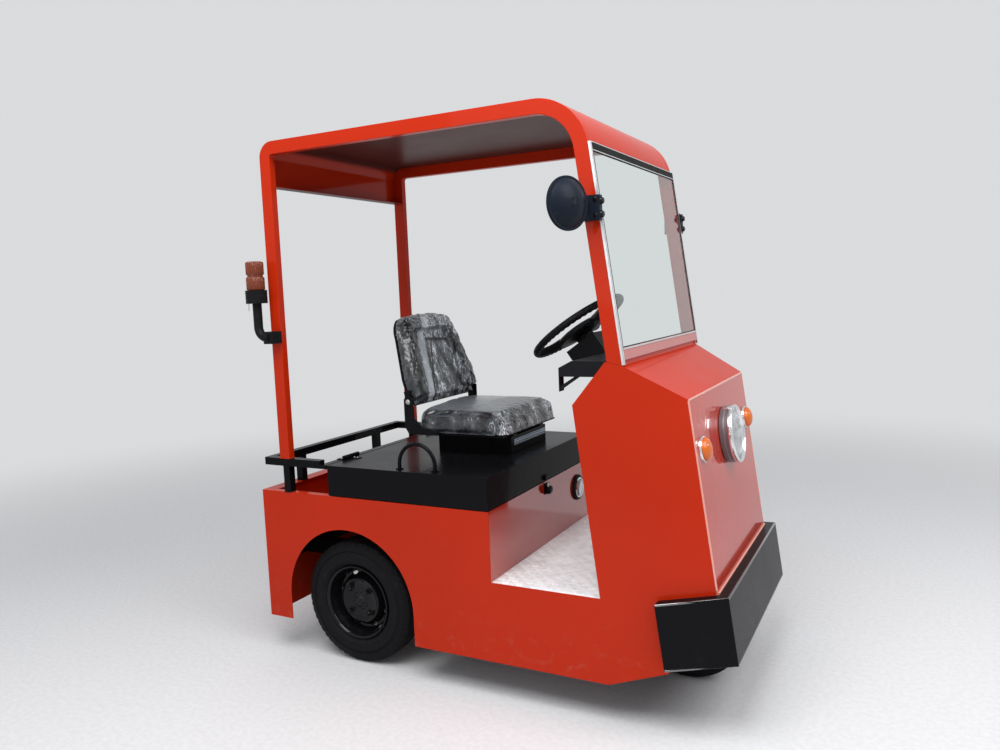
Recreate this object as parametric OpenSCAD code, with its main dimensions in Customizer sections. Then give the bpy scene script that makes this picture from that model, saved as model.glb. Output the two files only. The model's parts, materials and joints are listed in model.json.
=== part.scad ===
// Three-wheeled electric baggage tug with an open cab: sheet metal body, bent tube roof frame,
// lifting deck lid with the driver's seat on it, single steered front wheel and driven rear axle.
// Lengths are in millimetres. x is measured forward from the rear panel while a piece is drawn,
// y is to the left of the centre line and z is up from the ground.

/* [Body] */
// Width over the side panels
body_w = 900; // [860:1:960]
// Thickness of the sheet metal
skin = 3; // [2:0.5:4]
// Height of the side panels' top edge at the deck
deck_z = 663; // [655:1:690]
// Height of the lower edge between the wheels
skirt_z = 132; // [110:1:150]
// Height of the lower edge behind the rear wheel
tail_z = 147; // [125:1:165]
// Where the lower edge starts to rise towards the nose
kink_x = 1440; // [1400:1:1460]
// Rear edge of the footwell
foot_x = 1022; // [1000:1:1040]
// Height of the chequered floor
floor_z = 416; // [410:1:440]
// Front end of the step in the side panel
step_x = 1419; // [1400:1:1430]
// Rearmost point of the cowl side
cowl_x = 1343; // [1320:1:1360]
// Height of the cowl's rearmost point
cowl_z = 1041; // [1000:1:1060]
// Width of the folded top edge round the rear well
lip_w = 30; // [25:1:40]
// Depth of the rear well below the side panels' top edge
well_d = 118; // [90:1:120]
// Front wall of the rear well
well_x = 332; // [325:1:345]

/* [Nose] */
// Lean of the windscreen, the fold in the sides and the nose from upright
rake = 7.6; // [6:0.1:9]
// Forward end of the cowl top, where the windscreen stands
base_x = 1512; // [1500:1:1525]
// Height of the cowl top under the windscreen
base_z = 1167; // [1150:1:1180]
// Front edge of the bonnet
bonnet_x = 1701; // [1690:1:1720]
// Height of the bonnet's front edge
bonnet_z = 1060; // [1040:1:1070]
// Lower edge of the nose
nose_z = 270; // [260:1:290]
// Inward turn of the nose sides
taper = 17.5; // [15:0.5:20]

/* [Bumper] */
// Height of the bumper
bumper_h = 210; // [180:1:230]
// Distance of the bumper's lower edge below the nose
bumper_drop = 17; // [10:1:25]
// Gap between the nose and the bumper's plates
bumper_gap = 35; // [28:1:45]
// Thickness of the bumper's steel
bumper_t = 4; // [3:0.5:6]

/* [Roof] */
// Height of the roof
roof_z = 2000; // [1950:5:2050]
// Rear face of the rear pillars
pillar_x = 103; // [98:1:110]
// Width of the frame tube seen from the side
tube_w = 48; // [40:1:55]
// Thickness of the frame tube across the vehicle
tube_t = 30; // [25:1:35]
// Bend at the front of the roof
front_r = 185; // [170:1:200]
// Bend at the rear of the roof
rear_r = 60; // [55:1:75]
// Height of the sheet that hangs from the rear of the roof
valance_h = 165; // [140:1:190]
// Depth of the lip along the lower edge of that sheet
valance_lip = 45; // [35:1:50]

/* [Windscreen] */
// Height of the lower rail of the windscreen
screen_rail = 40; // [32:1:48]
// Width of the side strips of the windscreen
screen_strip = 12; // [10:1:16]
// Height of the dark strip along the top of the windscreen
screen_band = 28; // [24:1:34]
// Thickness of the windscreen's frame
screen_t = 8; // [7:0.5:10]
// Thickness of the glass
glass_t = 5; // [4:0.5:6]
// Height of the top of the windscreen
screen_z = 1849; // [1830:1:1855]
// Distance between the cowl top and the lower rail
screen_gap = 16; // [12:1:20]

/* [Guard rails] */
// Size of the square tube
rail_t = 30; // [25:1:32]
// Top of the rails above the deck lid
rail_rise = 15; // [12:1:22]
// Rear face of the cross rail
rail_x = 25; // [18:1:32]
// Distance of the cross rail's posts from the centre line
post_y = 260; // [150:5:290]

/* [Deck lid] */
// Height of the deck lid
lid_h = 115; // [105:1:125]
// Gap between the lid and what it closes on
lid_gap = 3; // [2:0.5:4]
// Gap between the lid's rear edge and the hinge rail
hinge_gap = 6; // [5:0.5:8]
// Radius of the hinge pins
hinge_pin_r = 4; // [3:0.5:5]
// Outer radius of the hinge knuckles
knuckle_r = 8; // [7:0.5:9]
// Length of one hinge knuckle
knuckle_l = 30; // [24:1:36]
// Distance of the hinges from the centre line
hinge_y = 300; // [250:5:340]
// Distance of the lifting handles from the centre line
handle_y = 410; // [395:1:420]
// Middle of the lifting handles
handle_x = 716; // [700:1:730]
// Half of the span of a lifting handle
handle_r = 76; // [65:1:85]
// Radius of the handles' bar
handle_bar = 7; // [6:0.5:8]
// Straight legs under the handles' arch
handle_leg = 18; // [10:1:24]
// Distance of the latch to the left of the centre line
latch_y = 22; // [0:1:60]
// Width of the latch's plate
latch_w = 32; // [28:1:40]
// Radius of the latch's knob
latch_r = 14; // [10:0.5:16]

/* [Seat] */
// Distance of the seat's middle to the left of the centre line
seat_y = 100; // [80:1:120]
// Width of the cushion
seat_w = 500; // [470:1:510]
// Rear edge of the cushion
cushion_x = 540; // [530:1:550]
// Depth of the cushion
cushion_d = 400; // [380:1:410]
// Thickness of the cushion
cushion_t = 74; // [60:1:80]
// Rear face of the seat's plinth
plinth_x = 591; // [580:1:600]
// Length of the plinth
plinth_l = 330; // [310:1:340]
// Width of the plinth
plinth_w = 317; // [300:1:330]
// Height of the plinth
plinth_h = 68; // [60:1:75]
// Height of the fixed slide rails
slide_h = 8; // [6:0.5:10]
// Width of a slide rail
slide_w = 30; // [24:1:36]
// Distance of the slide rails inside the plinth's sides
slide_in = 20; // [14:1:30]
// Running gap between the slide rails and the runners
slide_gap = 1; // [0.8:0.1:1.5]
// Rise of the cushion's middle
cushion_crown = 26; // [10:1:30]
// Fall of the cushion's top towards its front edge
front_fall = 26; // [16:1:32]
// Rounding of the cushion's front edge
front_round = 34; // [28:1:36]
// Rounding of the cushion's corners in plan
corner_r = 45; // [30:1:60]
// Backward lean of the backrest
back_lean = 17; // [14:0.5:20]
// Height of the backrest
back_h = 380; // [350:1:400]
// Thickness of the backrest's pad
back_t = 20; // [16:1:30]
// Thickness of the backrest's shell
shell_t = 9; // [6:1:12]
// Width of the raised rolls round the backrest
roll_w = 78; // [70:1:95]
// Height of the rolls above the pad
roll_d = 34; // [24:1:40]
// Height of the fold axis above the cushion
fold_h = 50; // [46:1:56]

/* [Steering] */
// Height of the middle of the steering wheel
wheel_z = 1262; // [1240:1:1280]
// Distance of the steering wheel's middle to the left of the centre line
wheel_y = 100; // [80:1:120]
// Middle of the steering wheel along the vehicle
wheel_x = 1148; // [1130:1:1160]
// Radius of the steering wheel's rim
rim_r = 188; // [175:1:195]
// Radius of the rim's grip
grip_r = 15; // [11:0.5:17]
// Slope of the steering column from level
column_slope = 55.5; // [52:0.5:58]
// Radius of the column tube
column_r = 24; // [20:1:28]
// Radius of the centre pad
pad_r = 105; // [75:1:115]
// Thickness of the centre pad
pad_t = 28; // [22:1:34]
// Distance of the centre pad below the rim
pad_drop = 6; // [2:1:12]
// Radius of the wheel's hub
hub_r = 34; // [28:1:40]
// Distance of the hub's foot below the rim
hub_drop = 60; // [52:1:66]
// Width of a spoke
spoke_w = 38; // [24:1:42]
// Turn of the spokes in the wheel
spoke_turn = 90; // [0:1:119]
// Width of the column's cover across the vehicle
cover_w = 170; // [150:5:190]
// Depth of the column's cover along the wheel
cover_d = 130; // [110:5:140]
// Length of the column's cover
cover_l = 110; // [90:5:130]
// Gap between the wheel's hub and the column
hub_gap = 6; // [5:0.5:8]

/* [Dash] */
// Depth of the dash
dash_d = 158; // [140:1:165]
// Slope at the top of the dash's rear edge
dash_chamfer = 22; // [16:1:28]
// Height of the dash's shelf box
dash_h = 50; // [40:1:60]
// Distance of the pedals in front of the wall behind them
pedal_reach = 90; // [80:1:100]
// Thickness of a pedal's pad
pedal_t = 8; // [6:0.5:10]
// Height of the brackets under the dash's ends, with the dash
facia_h = 102; // [90:1:115]
// Width of those brackets
dash_leg = 36; // [30:1:45]

/* [Rear axle] */
// Middle of the rear wheels along the vehicle
axle_x = 404; // [398:1:410]
// Radius of the wheel arch
arch_r = 290; // [280:1:300]
// Radius of the rear tyres
tyre_r = 240; // [232:1:245]
// Rounding of the tyres' shoulders
shoulder = 22; // [16:1:28]
// Distance of the wheel disc's rim inside the tyre's faces
rim_in = 8; // [6:1:12]
// Width of the rear tyres
tyre_w = 135; // [125:1:140]
// Distance of the tyre's outer face inside the side panel
tyre_in = 35; // [25:1:45]
// Radius of the wheel disc's rolled edge
disc_r = 143; // [138:1:148]
// Number of wheel nuts
lug_n = 4; // [3:1:6]
// Diameter of the circle through the wheel nuts
lug_pcd = 120; // [105:1:130]
// Distance of the hub's face inside the wheel disc's rim
hub_in = 20; // [16:1:30]
// Radius of the stub axles
stub_r = 20; // [18:0.5:22]
// Radius of the axle's tube
axle_r = 36; // [30:1:40]
// Radius of the gear case
gearcase_r = 100; // [90:1:105]
// Width of the gear case
gearcase_l = 140; // [120:1:160]
// Radius of the motor
motor_r = 82; // [70:1:90]
// Length of the motor
motor_l = 150; // [130:1:160]

/* [Front wheel] */
// Middle of the front wheel along the vehicle
fork_x = 1585; // [1580:1:1588]
// Radius of the front tyre
front_tyre_r = 207; // [200:1:208]
// Width of the front tyre
front_tyre_w = 108; // [100:1:112]
// Radius of the front wheel disc's rolled edge
front_disc_r = 116; // [110:1:120]
// Radius of the front wheel's axle
pin_r = 10; // [9:0.5:12]
// Radius of the fork's stem
stem_r = 25; // [22:0.5:28]
// Thickness of the fork's plates
fork_t = 12; // [10:0.5:12]
// Length of the fork's crown
fork_l = 90; // [80:1:100]
// Half of the width of the fork at the axle
eye_r = 24; // [20:1:28]
// Gap between the fork's plates and the tyre's side
fork_side = 8; // [6:0.5:10]
// Gap between the fork's crown and the steering head, and above the tyre
fork_gap = 6; // [5:0.5:8]
// Length of the steering head's plate
head_l = 210; // [190:1:230]
// Thickness of the steering head's plate
plate_t = 10; // [8:0.5:12]
// Height of the steering head
head_h = 160; // [140:1:180]
// Wall of the steering head's tube
head_wall = 18; // [14:1:22]
// Distance of the stem's top below the top of the steering head
stem_short = 20; // [16:1:30]
// Length of the steering gear
gear_l = 130; // [110:1:150]
// Reach of the steering gear to the right
gear_w = 70; // [60:1:80]
// Height of the steering gear
gear_h = 70; // [60:1:80]

/* [Chassis] */
// Height of the chassis rails
beam_h = 60; // [50:1:60]
// Width of the chassis rails
beam_w = 50; // [45:1:55]
// Clearance between the rear tyres and the chassis rails
beam_gap = 25; // [20:1:30]
// Length of the battery
battery_l = 440; // [400:5:450]
// Width of the battery
battery_w = 490; // [450:5:500]
// Height of the battery
battery_h = 228; // [200:1:232]

/* [Tow hitch] */
// Reach of the hitch behind the rear panel
hitch_l = 90; // [80:1:110]
// Width of the hitch jaws
hitch_w = 90; // [80:1:100]
// Thickness of a jaw
jaw_t = 12; // [10:1:14]
// Gap between the jaws
jaw_gap = 46; // [40:1:52]
// Radius of the hole for the tow pin
hitch_r = 13; // [11:0.5:14]
// Clearance round the drop pin
pin_play = 0.5; // [0.3:0.1:0.8]
// Height of the middle of the hitch
hitch_z = 330; // [320:1:345]
// Thickness of the hitch's plate on the rear panel
hitch_plate = 12; // [10:1:14]
// Radius of the drop pin's ring
ring_r = 22; // [18:1:26]
// Radius of the bar of that ring
ring_bar = 5; // [4:0.5:6]

/* [Lamps and mirrors] */
// Radius of the headlight
lamp_r = 100; // [85:1:104]
// Width of the rim round the headlight's glass
lamp_rim = 14; // [10:1:18]
// Bulge of the headlight's glass
lens_bulge = 14; // [10:1:20]
// Depth of the headlight in front of the nose
lamp_d = 46; // [40:1:60]
// Distance of the headlight below the bonnet's edge
lamp_drop = 175; // [120:1:200]
// Distance of the headlight from the centre line
lamp_y = 0; // [-20:1:20]
// Radius of the indicators
signal_r = 42; // [36:1:48]
// Depth of the indicators
signal_d = 30; // [26:1:40]
// Distance of the indicators from the centre line
signal_y = 325; // [295:1:345]
// Distance of the indicators below the bonnet's edge
signal_drop = 166; // [120:1:200]
// Radius of the mirrors
mirror_r = 80; // [70:1:88]
// Depth of a mirror's domed back
mirror_d = 40; // [34:1:46]
// Thickness of a mirror's rim
mirror_rim = 9; // [7:0.5:11]
// Inward turn of the mirrors
mirror_turn = 23; // [15:1:30]
// Middle of the mirrors along the vehicle
mirror_x = 1392; // [1380:1:1400]
// Distance of the mirrors outside the side panels
mirror_out = 110; // [100:1:120]
// Height of the middle of the mirrors
mirror_z = 1658; // [1640:1:1690]
// Height of the foot of the beacon
beacon_z = 1450; // [1410:1:1470]
// Radius of the beacon
beacon_r = 34; // [30:1:40]
// Reach of the beacon's foot beyond the beacon
beacon_foot = 6; // [4:1:8]
// Height of the beacon's foot
beacon_foot_h = 50; // [40:1:56]
// Height of the beacon's two tiers
beacon_h = 109; // [100:1:120]
// Distance of the beacon outside the side panel
beacon_out = 45; // [42:1:60]
// Middle of the beacon along the vehicle
beacon_x = 84; // [78:1:90]
// Radius of the bent tube that carries the beacon
stalk_r = 17; // [14:0.5:18]
// Radius of the charging port
port_r = 54; // [48:1:60]
// Distance of the charging port to the left of the centre line
port_y = 338; // [320:1:350]
// Height of the charging port
port_z = 566; // [555:1:580]

/* [Hidden] */
$fn = 96;

half_w = body_w / 2;
eps = 0.01;
fit = 0.05;
// The bent sides lap the flat ones by this much behind the fold
fold_lap = 2;

// Nose frame: its origin is the cowl's front edge, its X is square to the nose's face
nose_p = (bonnet_x - base_x) * cos(rake) + (bonnet_z - base_z) * sin(rake);
nose_half = half_w - nose_p * tan(taper);
function rake_x(z) = base_x + (base_z - z) * tan(rake);
function face_x(z) = bonnet_x + (bonnet_z - z) * tan(rake);
bonnet_v = -(bonnet_x - base_x) * sin(rake) + (bonnet_z - base_z) * cos(rake);
nose_bottom_v = -(face_x(nose_z) - base_x) * sin(rake) + (nose_z - base_z) * cos(rake);
bumper_low_v = nose_bottom_v - bumper_drop;
bumper_front = nose_p + bumper_gap + bumper_t;
front_end = base_x + bumper_front * cos(rake) - bumper_low_v * sin(rake);
rear_end = -hitch_l;
mid_x = (front_end + rear_end) / 2;
rise = (nose_z - skirt_z) / (face_x(nose_z) - kink_x);
fold_z = (skirt_z + rise * (base_x + base_z * tan(rake) - kink_x)) / (1 + rise * tan(rake));

// Roof outline
roof_cx = rake_x(roof_z - front_r) - front_r / cos(rake);
roof_cz = roof_z - front_r;

// Deck lid and rails
lid_x = well_x + skin;
lid_z = deck_z + lid_gap;
lid_top = lid_z + lid_h;
rail_top = lid_top + rail_rise;
hinge_x = lid_x - hinge_gap / 2;
hinge_z = lid_top + knuckle_r + 0.5;
leaf_t = 3;
leaf_l = 40;
hinge_rail_x = lid_x - hinge_gap - rail_t;

// Chassis
beam_y = half_w - tyre_in - tyre_w - beam_gap;
beam_top = floor_z - skin;
beam_z = beam_top - beam_h;
head_z = 2 * front_tyre_r + 2 * fork_gap + fork_t;
head_top = head_z + head_h;
arch_z = tyre_r + 7;
bulkhead_x = step_x + 21;
front_beam_x = face_x(beam_top) - skin - 42;

// Seat
plinth_top = lid_top + plinth_h;
pan_z = plinth_top + slide_h + slide_gap;
pan_t = 6;
cushion_z = pan_z + pan_t;
cushion_top = cushion_z + cushion_t;
fold_z0 = cushion_top + fold_h;
fold_x = cushion_x - 20;
runner_t = 3;
// Thickness of the plates at the fold and radius of their pins
ear_t = 6;
fold_pin_r = 8;

// Dash
dash_back = rake_x(base_z) - tube_w - 8;
dash_x = dash_back - dash_d;
dash_top = base_z + 14;
dash_low = dash_top - dash_h;
dash_foot = dash_top + 4 - facia_h;

module shift() { translate([-mid_x, 0, 0]) children(); }
module left() { mirror([0, 1, 0]) children(); }
// Puts the right side's piece on the side given: -1 right, 1 left
module both(s) { if (s < 0) { children(); } else { left() children(); } }
module box(a, b) { translate(a) cube(b - a); }
// A plate drawn in x and z, from y0 to y1
module slab(y0, y1) { translate([0, y1, 0]) rotate([90, 0, 0]) linear_extrude(y1 - y0) children(); }
module in_nose() { translate([base_x, 0, base_z]) rotate([0, -rake, 0]) children(); }
module round_x(p, r, l) { translate(p) rotate([0, 90, 0]) cylinder(h = l, r = r); }
module round_y(p, r, l) { translate(p) rotate([-90, 0, 0]) cylinder(h = l, r = r); }
module round_z(p, r, l) { translate(p) cylinder(h = l, r = r); }

// Side outline of the whole body, without the footwell and the arch
module side_outline() {
    polygon([[0, tail_z], [axle_x, tail_z], [axle_x, skirt_z], [kink_x, skirt_z],
        [face_x(nose_z), nose_z], [bonnet_x, bonnet_z], [base_x, base_z],
        [rake_x(base_z + 12) - tube_w - 6, base_z + 12], [cowl_x, cowl_z], [step_x, floor_z],
        [foot_x, floor_z], [foot_x, deck_z], [0, deck_z]]);
}

// Plan of the nose in its own frame, drawn in by an inset; it starts a little behind the fold
module nose_plan(inset) {
    front = nose_p - inset;
    bend = -inset * (1 / cos(taper) - 1) / tan(taper);
    side = half_w - front * tan(taper) - inset / cos(taper);
    polygon([[-fold_lap, -half_w + inset], [bend, -half_w + inset], [front, -side],
        [front, side], [bend, half_w - inset], [-fold_lap, half_w - inset]]);
}

module nose_prism(inset) {
    in_nose() translate([0, 0, bumper_low_v]) linear_extrude(-bumper_low_v + 60) nose_plan(inset);
}

// Outline of the region behind the fold of the sides
module behind_fold() {
    polygon([[-1, 0], [rake_x(0), 0], [rake_x(roof_z), roof_z], [-1, roof_z]]);
}

module arch_outline() {
    translate([axle_x, arch_z]) circle(r = arch_r);
    translate([axle_x - arch_r, 0]) square([2 * arch_r, arch_z]);
}

module side_panel() {
    color("orangered") {
        slab(-half_w, -half_w + skin) difference() {
            intersection() {
                side_outline();
                behind_fold();
            }
            arch_outline();
        }
        intersection() {
            slab(-half_w, 0) side_outline();
            difference() {
                nose_prism(0);
                nose_prism(skin);
                in_nose() box([nose_p - skin, -half_w, bumper_low_v - 10], [nose_p + 10, half_w, 90]);
            }
        }
        box([skin, -half_w, deck_z - skin], [well_x, -half_w + lip_w, deck_z]);
    }
}

module front_panel() {
    color("orangered") intersection() {
        slab(-half_w, half_w) side_outline();
        difference() {
            intersection() {
                nose_prism(0);
                in_nose() box([nose_p - skin, -half_w, bumper_low_v], [nose_p, half_w, 60]);
            }
            bonnet_space();
        }
    }
}

// Region of the bonnet's sheet and all above it
module bonnet_space() {
    slab(-half_w, half_w) polygon([[base_x, base_z - skin], [bonnet_x, bonnet_z - skin],
        [front_end, bonnet_z - skin], [front_end, base_z + skin], [base_x, base_z + skin]]);
}

module bonnet_top() {
    color("orangered") intersection() {
        slab(-half_w, half_w) side_outline();
        nose_prism(skin);
        bonnet_space();
    }
    color("orangered") in_nose()
        box([-tube_w, -half_w + tube_t, -tube_t / 2], [0, half_w - tube_t, screen_gap]);
}

module rear_panel() {
    color("orangered") {
        box([0, -half_w + skin, tail_z], [skin, half_w - skin, deck_z]);
        box([skin, -half_w + lip_w, deck_z - skin], [rail_x + rail_t, half_w - lip_w, deck_z]);
    }
}

module well_floor() {
    color("orangered") {
        box([skin, -half_w + skin, deck_z - well_d - skin], [well_x, half_w - skin, deck_z - well_d]);
        box([well_x, -half_w + skin, deck_z - well_d - skin], [well_x + skin, half_w - skin, deck_z]);
    }
}

module floor_plate() {
    color("gainsboro")
        box([foot_x - skin, -half_w + skin, floor_z - skin], [bulkhead_x, half_w - skin, floor_z]);
}

module kick_panel() {
    color("orangered") box([foot_x - skin, -half_w + skin, floor_z], [foot_x, half_w - skin, deck_z]);
}

module bulkhead() {
    color("orangered") difference() {
        box([bulkhead_x, -half_w + skin, floor_z - skin],
            [bulkhead_x + skin, half_w - skin, base_z - dash_h - 20]);
        column_axis() translate([0, 0, -900]) cylinder(h = 900, r = column_r + 12);
    }
}

module dash() {
    end = half_w - skin - 1;
    color("dimgray") {
        slab(-end, end)
            polygon([[dash_x, dash_low], [dash_back, dash_low], [dash_back, dash_top],
                [dash_x + 2 * dash_chamfer, dash_top], [dash_x, dash_top - dash_chamfer]]);
        for (s = [-1, 1]) both(s) {
            box([dash_x, -end, dash_foot], [dash_x + skin, -end + dash_leg, dash_low + 1]);
            slab(-end + 5, -end + 11)
                polygon([[dash_x + 1, dash_foot + 2], [dash_x + 1, dash_foot + 16],
                    [dash_x + dash_h + 4, dash_low + 1], [dash_x + dash_h + 22, dash_low + 1]]);
        }
    }
}

// Plan of the bumper in the nose's frame
module bumper_plan(out) {
    k = out / cos(taper);
    front = nose_p + out;
    polygon([[0, -half_w - k], [front, -half_w + front * tan(taper) - k],
        [front, half_w - front * tan(taper) + k], [0, half_w + k]]);
}

module bumper() {
    top = bumper_low_v + bumper_h;
    color("black") in_nose() difference() {
        translate([0, 0, bumper_low_v]) linear_extrude(bumper_h) bumper_plan(bumper_gap + bumper_t);
        translate([-eps, 0, bumper_low_v + bumper_t])
            linear_extrude(bumper_h - 2 * bumper_t) bumper_plan(bumper_gap);
        translate([-eps, 0, bumper_low_v - 1]) linear_extrude(bumper_h + 2) bumper_plan(fit);
    }
}

// Outline of the roof and its pillars, drawn in by an inset
module roof_outline(inset) {
    r1 = front_r - inset;
    r2 = rear_r - inset;
    tx = roof_cx + r1 * cos(rake);
    tz = roof_cz + r1 * sin(rake);
    low = deck_z;
    union() {
        polygon([[pillar_x + inset, low], [pillar_x + inset, roof_z - rear_r],
            [pillar_x + rear_r, roof_z - inset], [roof_cx, roof_z - inset], [tx, tz],
            [tx + (tz - low) * tan(rake), low]]);
        translate([roof_cx, roof_cz]) circle(r = r1);
        translate([pillar_x + rear_r, roof_z - rear_r]) circle(r = r2);
    }
}

module roof_frame() {
    color("orangered") for (s = [-1, 1]) both(s) slab(-half_w, -half_w + tube_t) intersection() {
        difference() {
            roof_outline(0);
            roof_outline(tube_w);
        }
        union() {
            translate([0, rail_top]) square([600, roof_z]);
            polygon([[600, base_z + 200], [rake_x(base_z + 12) - tube_w - 20, base_z + 12 + 1],
                [rake_x(base_z + 12) - tube_w - 6, base_z + 12], [base_x, base_z],
                [base_x + 100, base_z], [base_x + 100, roof_z], [600, roof_z]]);
        }
    }
}

module roof_sheet() {
    color("orangered") {
        slab(-half_w + tube_t, half_w - tube_t) intersection() {
            difference() {
                roof_outline(0);
                roof_outline(skin);
            }
            union() {
                translate([0, roof_z - valance_h]) square([600, roof_z]);
                polygon([[600, roof_z - 100], [rake_x(screen_z) - 100, screen_z],
                    [rake_x(screen_z) + 100, screen_z], [rake_x(screen_z) + 100, roof_z + 1],
                    [600, roof_z + 1]]);
            }
        }
        box([pillar_x + skin, -half_w + tube_t, roof_z - valance_h],
            [pillar_x + valance_lip, half_w - tube_t, roof_z - valance_h + skin]);
    }
}

screen_top_v = (screen_z - base_z) / cos(rake);
screen_low_v = screen_gap + screen_rail;

module windscreen_frame() {
    color("salmon") in_nose() difference() {
        box([0, -half_w, screen_gap], [screen_t, half_w, screen_top_v]);
        box([-eps, -half_w + screen_strip, screen_low_v],
            [screen_t + eps, half_w - screen_strip, screen_top_v - screen_band]);
    }
}

module windscreen_glass() {
    a = (screen_t - glass_t) / 2;
    color("lightblue", 0.4) in_nose() box([a, -half_w + screen_strip, screen_low_v],
        [a + glass_t, half_w - screen_strip, screen_top_v - screen_band]);
}

module guard_rail() {
    low = rail_top - rail_t;
    color("black") {
        for (s = [-1, 1]) both(s) {
            box([rail_x, -half_w, low], [hinge_rail_x, -half_w + rail_t, rail_top]);
            box([pillar_x + 14, -half_w, deck_z], [pillar_x + 14 + rail_t, -half_w + rail_t, low]);
            box([rail_x, -post_y - rail_t / 2, deck_z], [rail_x + rail_t, -post_y + rail_t / 2, low]);
            hinge_fixed();
        }
        box([rail_x, -half_w + rail_t, low], [rail_x + rail_t, half_w - rail_t, rail_top]);
        box([hinge_rail_x, -half_w, low], [hinge_rail_x + rail_t, half_w, lid_top]);
        for (y = [-post_y, post_y])
            box([hinge_rail_x, y - rail_t / 2, deck_z], [hinge_rail_x + rail_t, y + rail_t / 2, low]);
    }
}

// Fixed half of one hinge: two knuckles with the pin, on a leaf that stands on the hinge rail
module hinge_fixed() {
    for (dy = [-knuckle_l - 1, knuckle_l + 1]) {
        round_y([hinge_x, -hinge_y + dy - knuckle_l / 2, hinge_z], knuckle_r, knuckle_l);
        box([hinge_rail_x, -hinge_y + dy - knuckle_l / 2, lid_top],
            [hinge_x, -hinge_y + dy + knuckle_l / 2, lid_top + leaf_t]);
    }
    round_y([hinge_x, -hinge_y - 1.5 * knuckle_l, hinge_z], hinge_pin_r, 3 * knuckle_l);
}

module lid_knuckle() {
    difference() {
        union() {
            round_y([hinge_x, -hinge_y - knuckle_l / 2, hinge_z], knuckle_r, knuckle_l);
            box([hinge_x, -hinge_y - knuckle_l / 2, lid_top],
                [lid_x + leaf_l, -hinge_y + knuckle_l / 2, lid_top + leaf_t]);
        }
        round_y([hinge_x, -hinge_y - knuckle_l, hinge_z], hinge_pin_r + fit, 2 * knuckle_l);
    }
}

module deck_lid() {
    color("black") {
        difference() {
            box([lid_x, -half_w, lid_z], [foot_x, half_w, lid_top]);
            box([lid_x + skin, -half_w + skin, lid_z - 1], [foot_x - skin, half_w - skin, lid_top - skin]);
        }
        for (s = [-1, 1]) both(s) lid_knuckle();
        box([foot_x, latch_y - latch_r, lid_z + 4], [foot_x + 10, latch_y + latch_r, lid_z + 22]);
    }
}

module lid_handles() {
    color("black") for (s = [-1, 1]) {
        translate([handle_x, s * handle_y, lid_top + handle_leg]) rotate([90, 0, 0])
            rotate_extrude(angle = 180) translate([handle_r, 0]) circle(r = handle_bar, $fn = 24);
        for (e = [-1, 1]) {
            round_z([handle_x + e * handle_r, s * handle_y, lid_top], handle_bar, handle_leg);
            round_z([handle_x + e * handle_r, s * handle_y, lid_top], 2 * handle_bar, 4);
        }
    }
}

module seat_plinth() {
    y0 = seat_y - plinth_w / 2;
    y1 = seat_y + plinth_w / 2;
    color("black") {
        difference() {
            box([plinth_x, y0, lid_top], [plinth_x + plinth_l, y1, plinth_top]);
            box([plinth_x + skin, y0 + skin, lid_top - 1],
                [plinth_x + plinth_l - skin, y1 - skin, plinth_top - skin]);
        }
        for (y = [y0 + slide_in, y1 - slide_in - slide_w])
            box([plinth_x, y, plinth_top], [plinth_x + plinth_l, y + slide_w, plinth_top + slide_h]);
    }
}

module seat_pan() {
    rail_y = plinth_w / 2 - slide_in - slide_w / 2;
    runner_y = slide_w / 2 + slide_gap + runner_t / 2;
    plate_y = seat_w / 2 + 5;
    foot_end = cushion_x + 110;
    color("black") {
        box([cushion_x + 8, seat_y - seat_w / 2 + 8, pan_z],
            [cushion_x + cushion_d - 12, seat_y + seat_w / 2 - 8, cushion_z]);
        for (s = [-1, 1], e = [-1, 1])
            box([plinth_x + 30, seat_y + s * rail_y + e * runner_y - runner_t / 2, plinth_top + slide_gap],
                [plinth_x + plinth_l - 30, seat_y + s * rail_y + e * runner_y + runner_t / 2, pan_z]);
        for (s = [-1, 1]) difference() {
            union() {
                slab(seat_y + s * plate_y - ear_t / 2, seat_y + s * plate_y + ear_t / 2)
                    polygon([[fold_x - 4, pan_z], [foot_end, pan_z], [foot_end, pan_z + 16],
                        [cushion_x + 40, pan_z + 28], [fold_x + 22, cushion_top - 14],
                        [fold_x + 22, fold_z0 + 8], [fold_x + 10, fold_z0 + 20],
                        [fold_x - 14, fold_z0 + 20], [fold_x - 22, fold_z0 + 8],
                        [fold_x - 22, cushion_z + 22]]);
                box([cushion_x + 10, seat_y + s * (seat_w / 2 - 4) - 8, pan_z],
                    [foot_end, seat_y + s * (seat_w / 2 - 4) + 8, cushion_z]);
            }
            round_y([fold_x, seat_y + s * plate_y - 10, fold_z0], fold_pin_r + fit, 20);
        }
    }
}

module seat_cushion() {
    w = seat_w / 2;
    r = corner_r;
    crown_r = (w * w + cushion_crown * cushion_crown) / (2 * cushion_crown);
    high = cushion_top + cushion_crown;
    front_top = high - front_fall;
    color("silver") intersection() {
        translate([0, 0, cushion_z]) linear_extrude(cushion_t + cushion_crown + 1) union() {
            translate([cushion_x, seat_y - w + r]) square([cushion_d, 2 * (w - r)]);
            translate([cushion_x + r, seat_y - w]) square([cushion_d - 2 * r, 2 * w]);
            for (s = [-1, 1], x = [cushion_x + r, cushion_x + cushion_d - r])
                translate([x, seat_y + s * (w - r)]) circle(r = r);
        }
        round_x([cushion_x - 10, seat_y, high - crown_r], crown_r, cushion_d + 20);
        slab(seat_y - seat_w, seat_y + seat_w) union() {
            polygon([[cushion_x, cushion_z - 1], [cushion_x + cushion_d, cushion_z - 1],
                [cushion_x + cushion_d, front_top - front_round],
                [cushion_x + cushion_d - 0.8 * front_round, front_top],
                [cushion_x + 0.6 * cushion_d, high], [cushion_x + 0.6 * cushion_d, high + 2],
                [cushion_x, high + 2]]);
            translate([cushion_x + cushion_d - front_round, front_top - front_round])
                circle(r = front_round);
        }
    }
}

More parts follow.
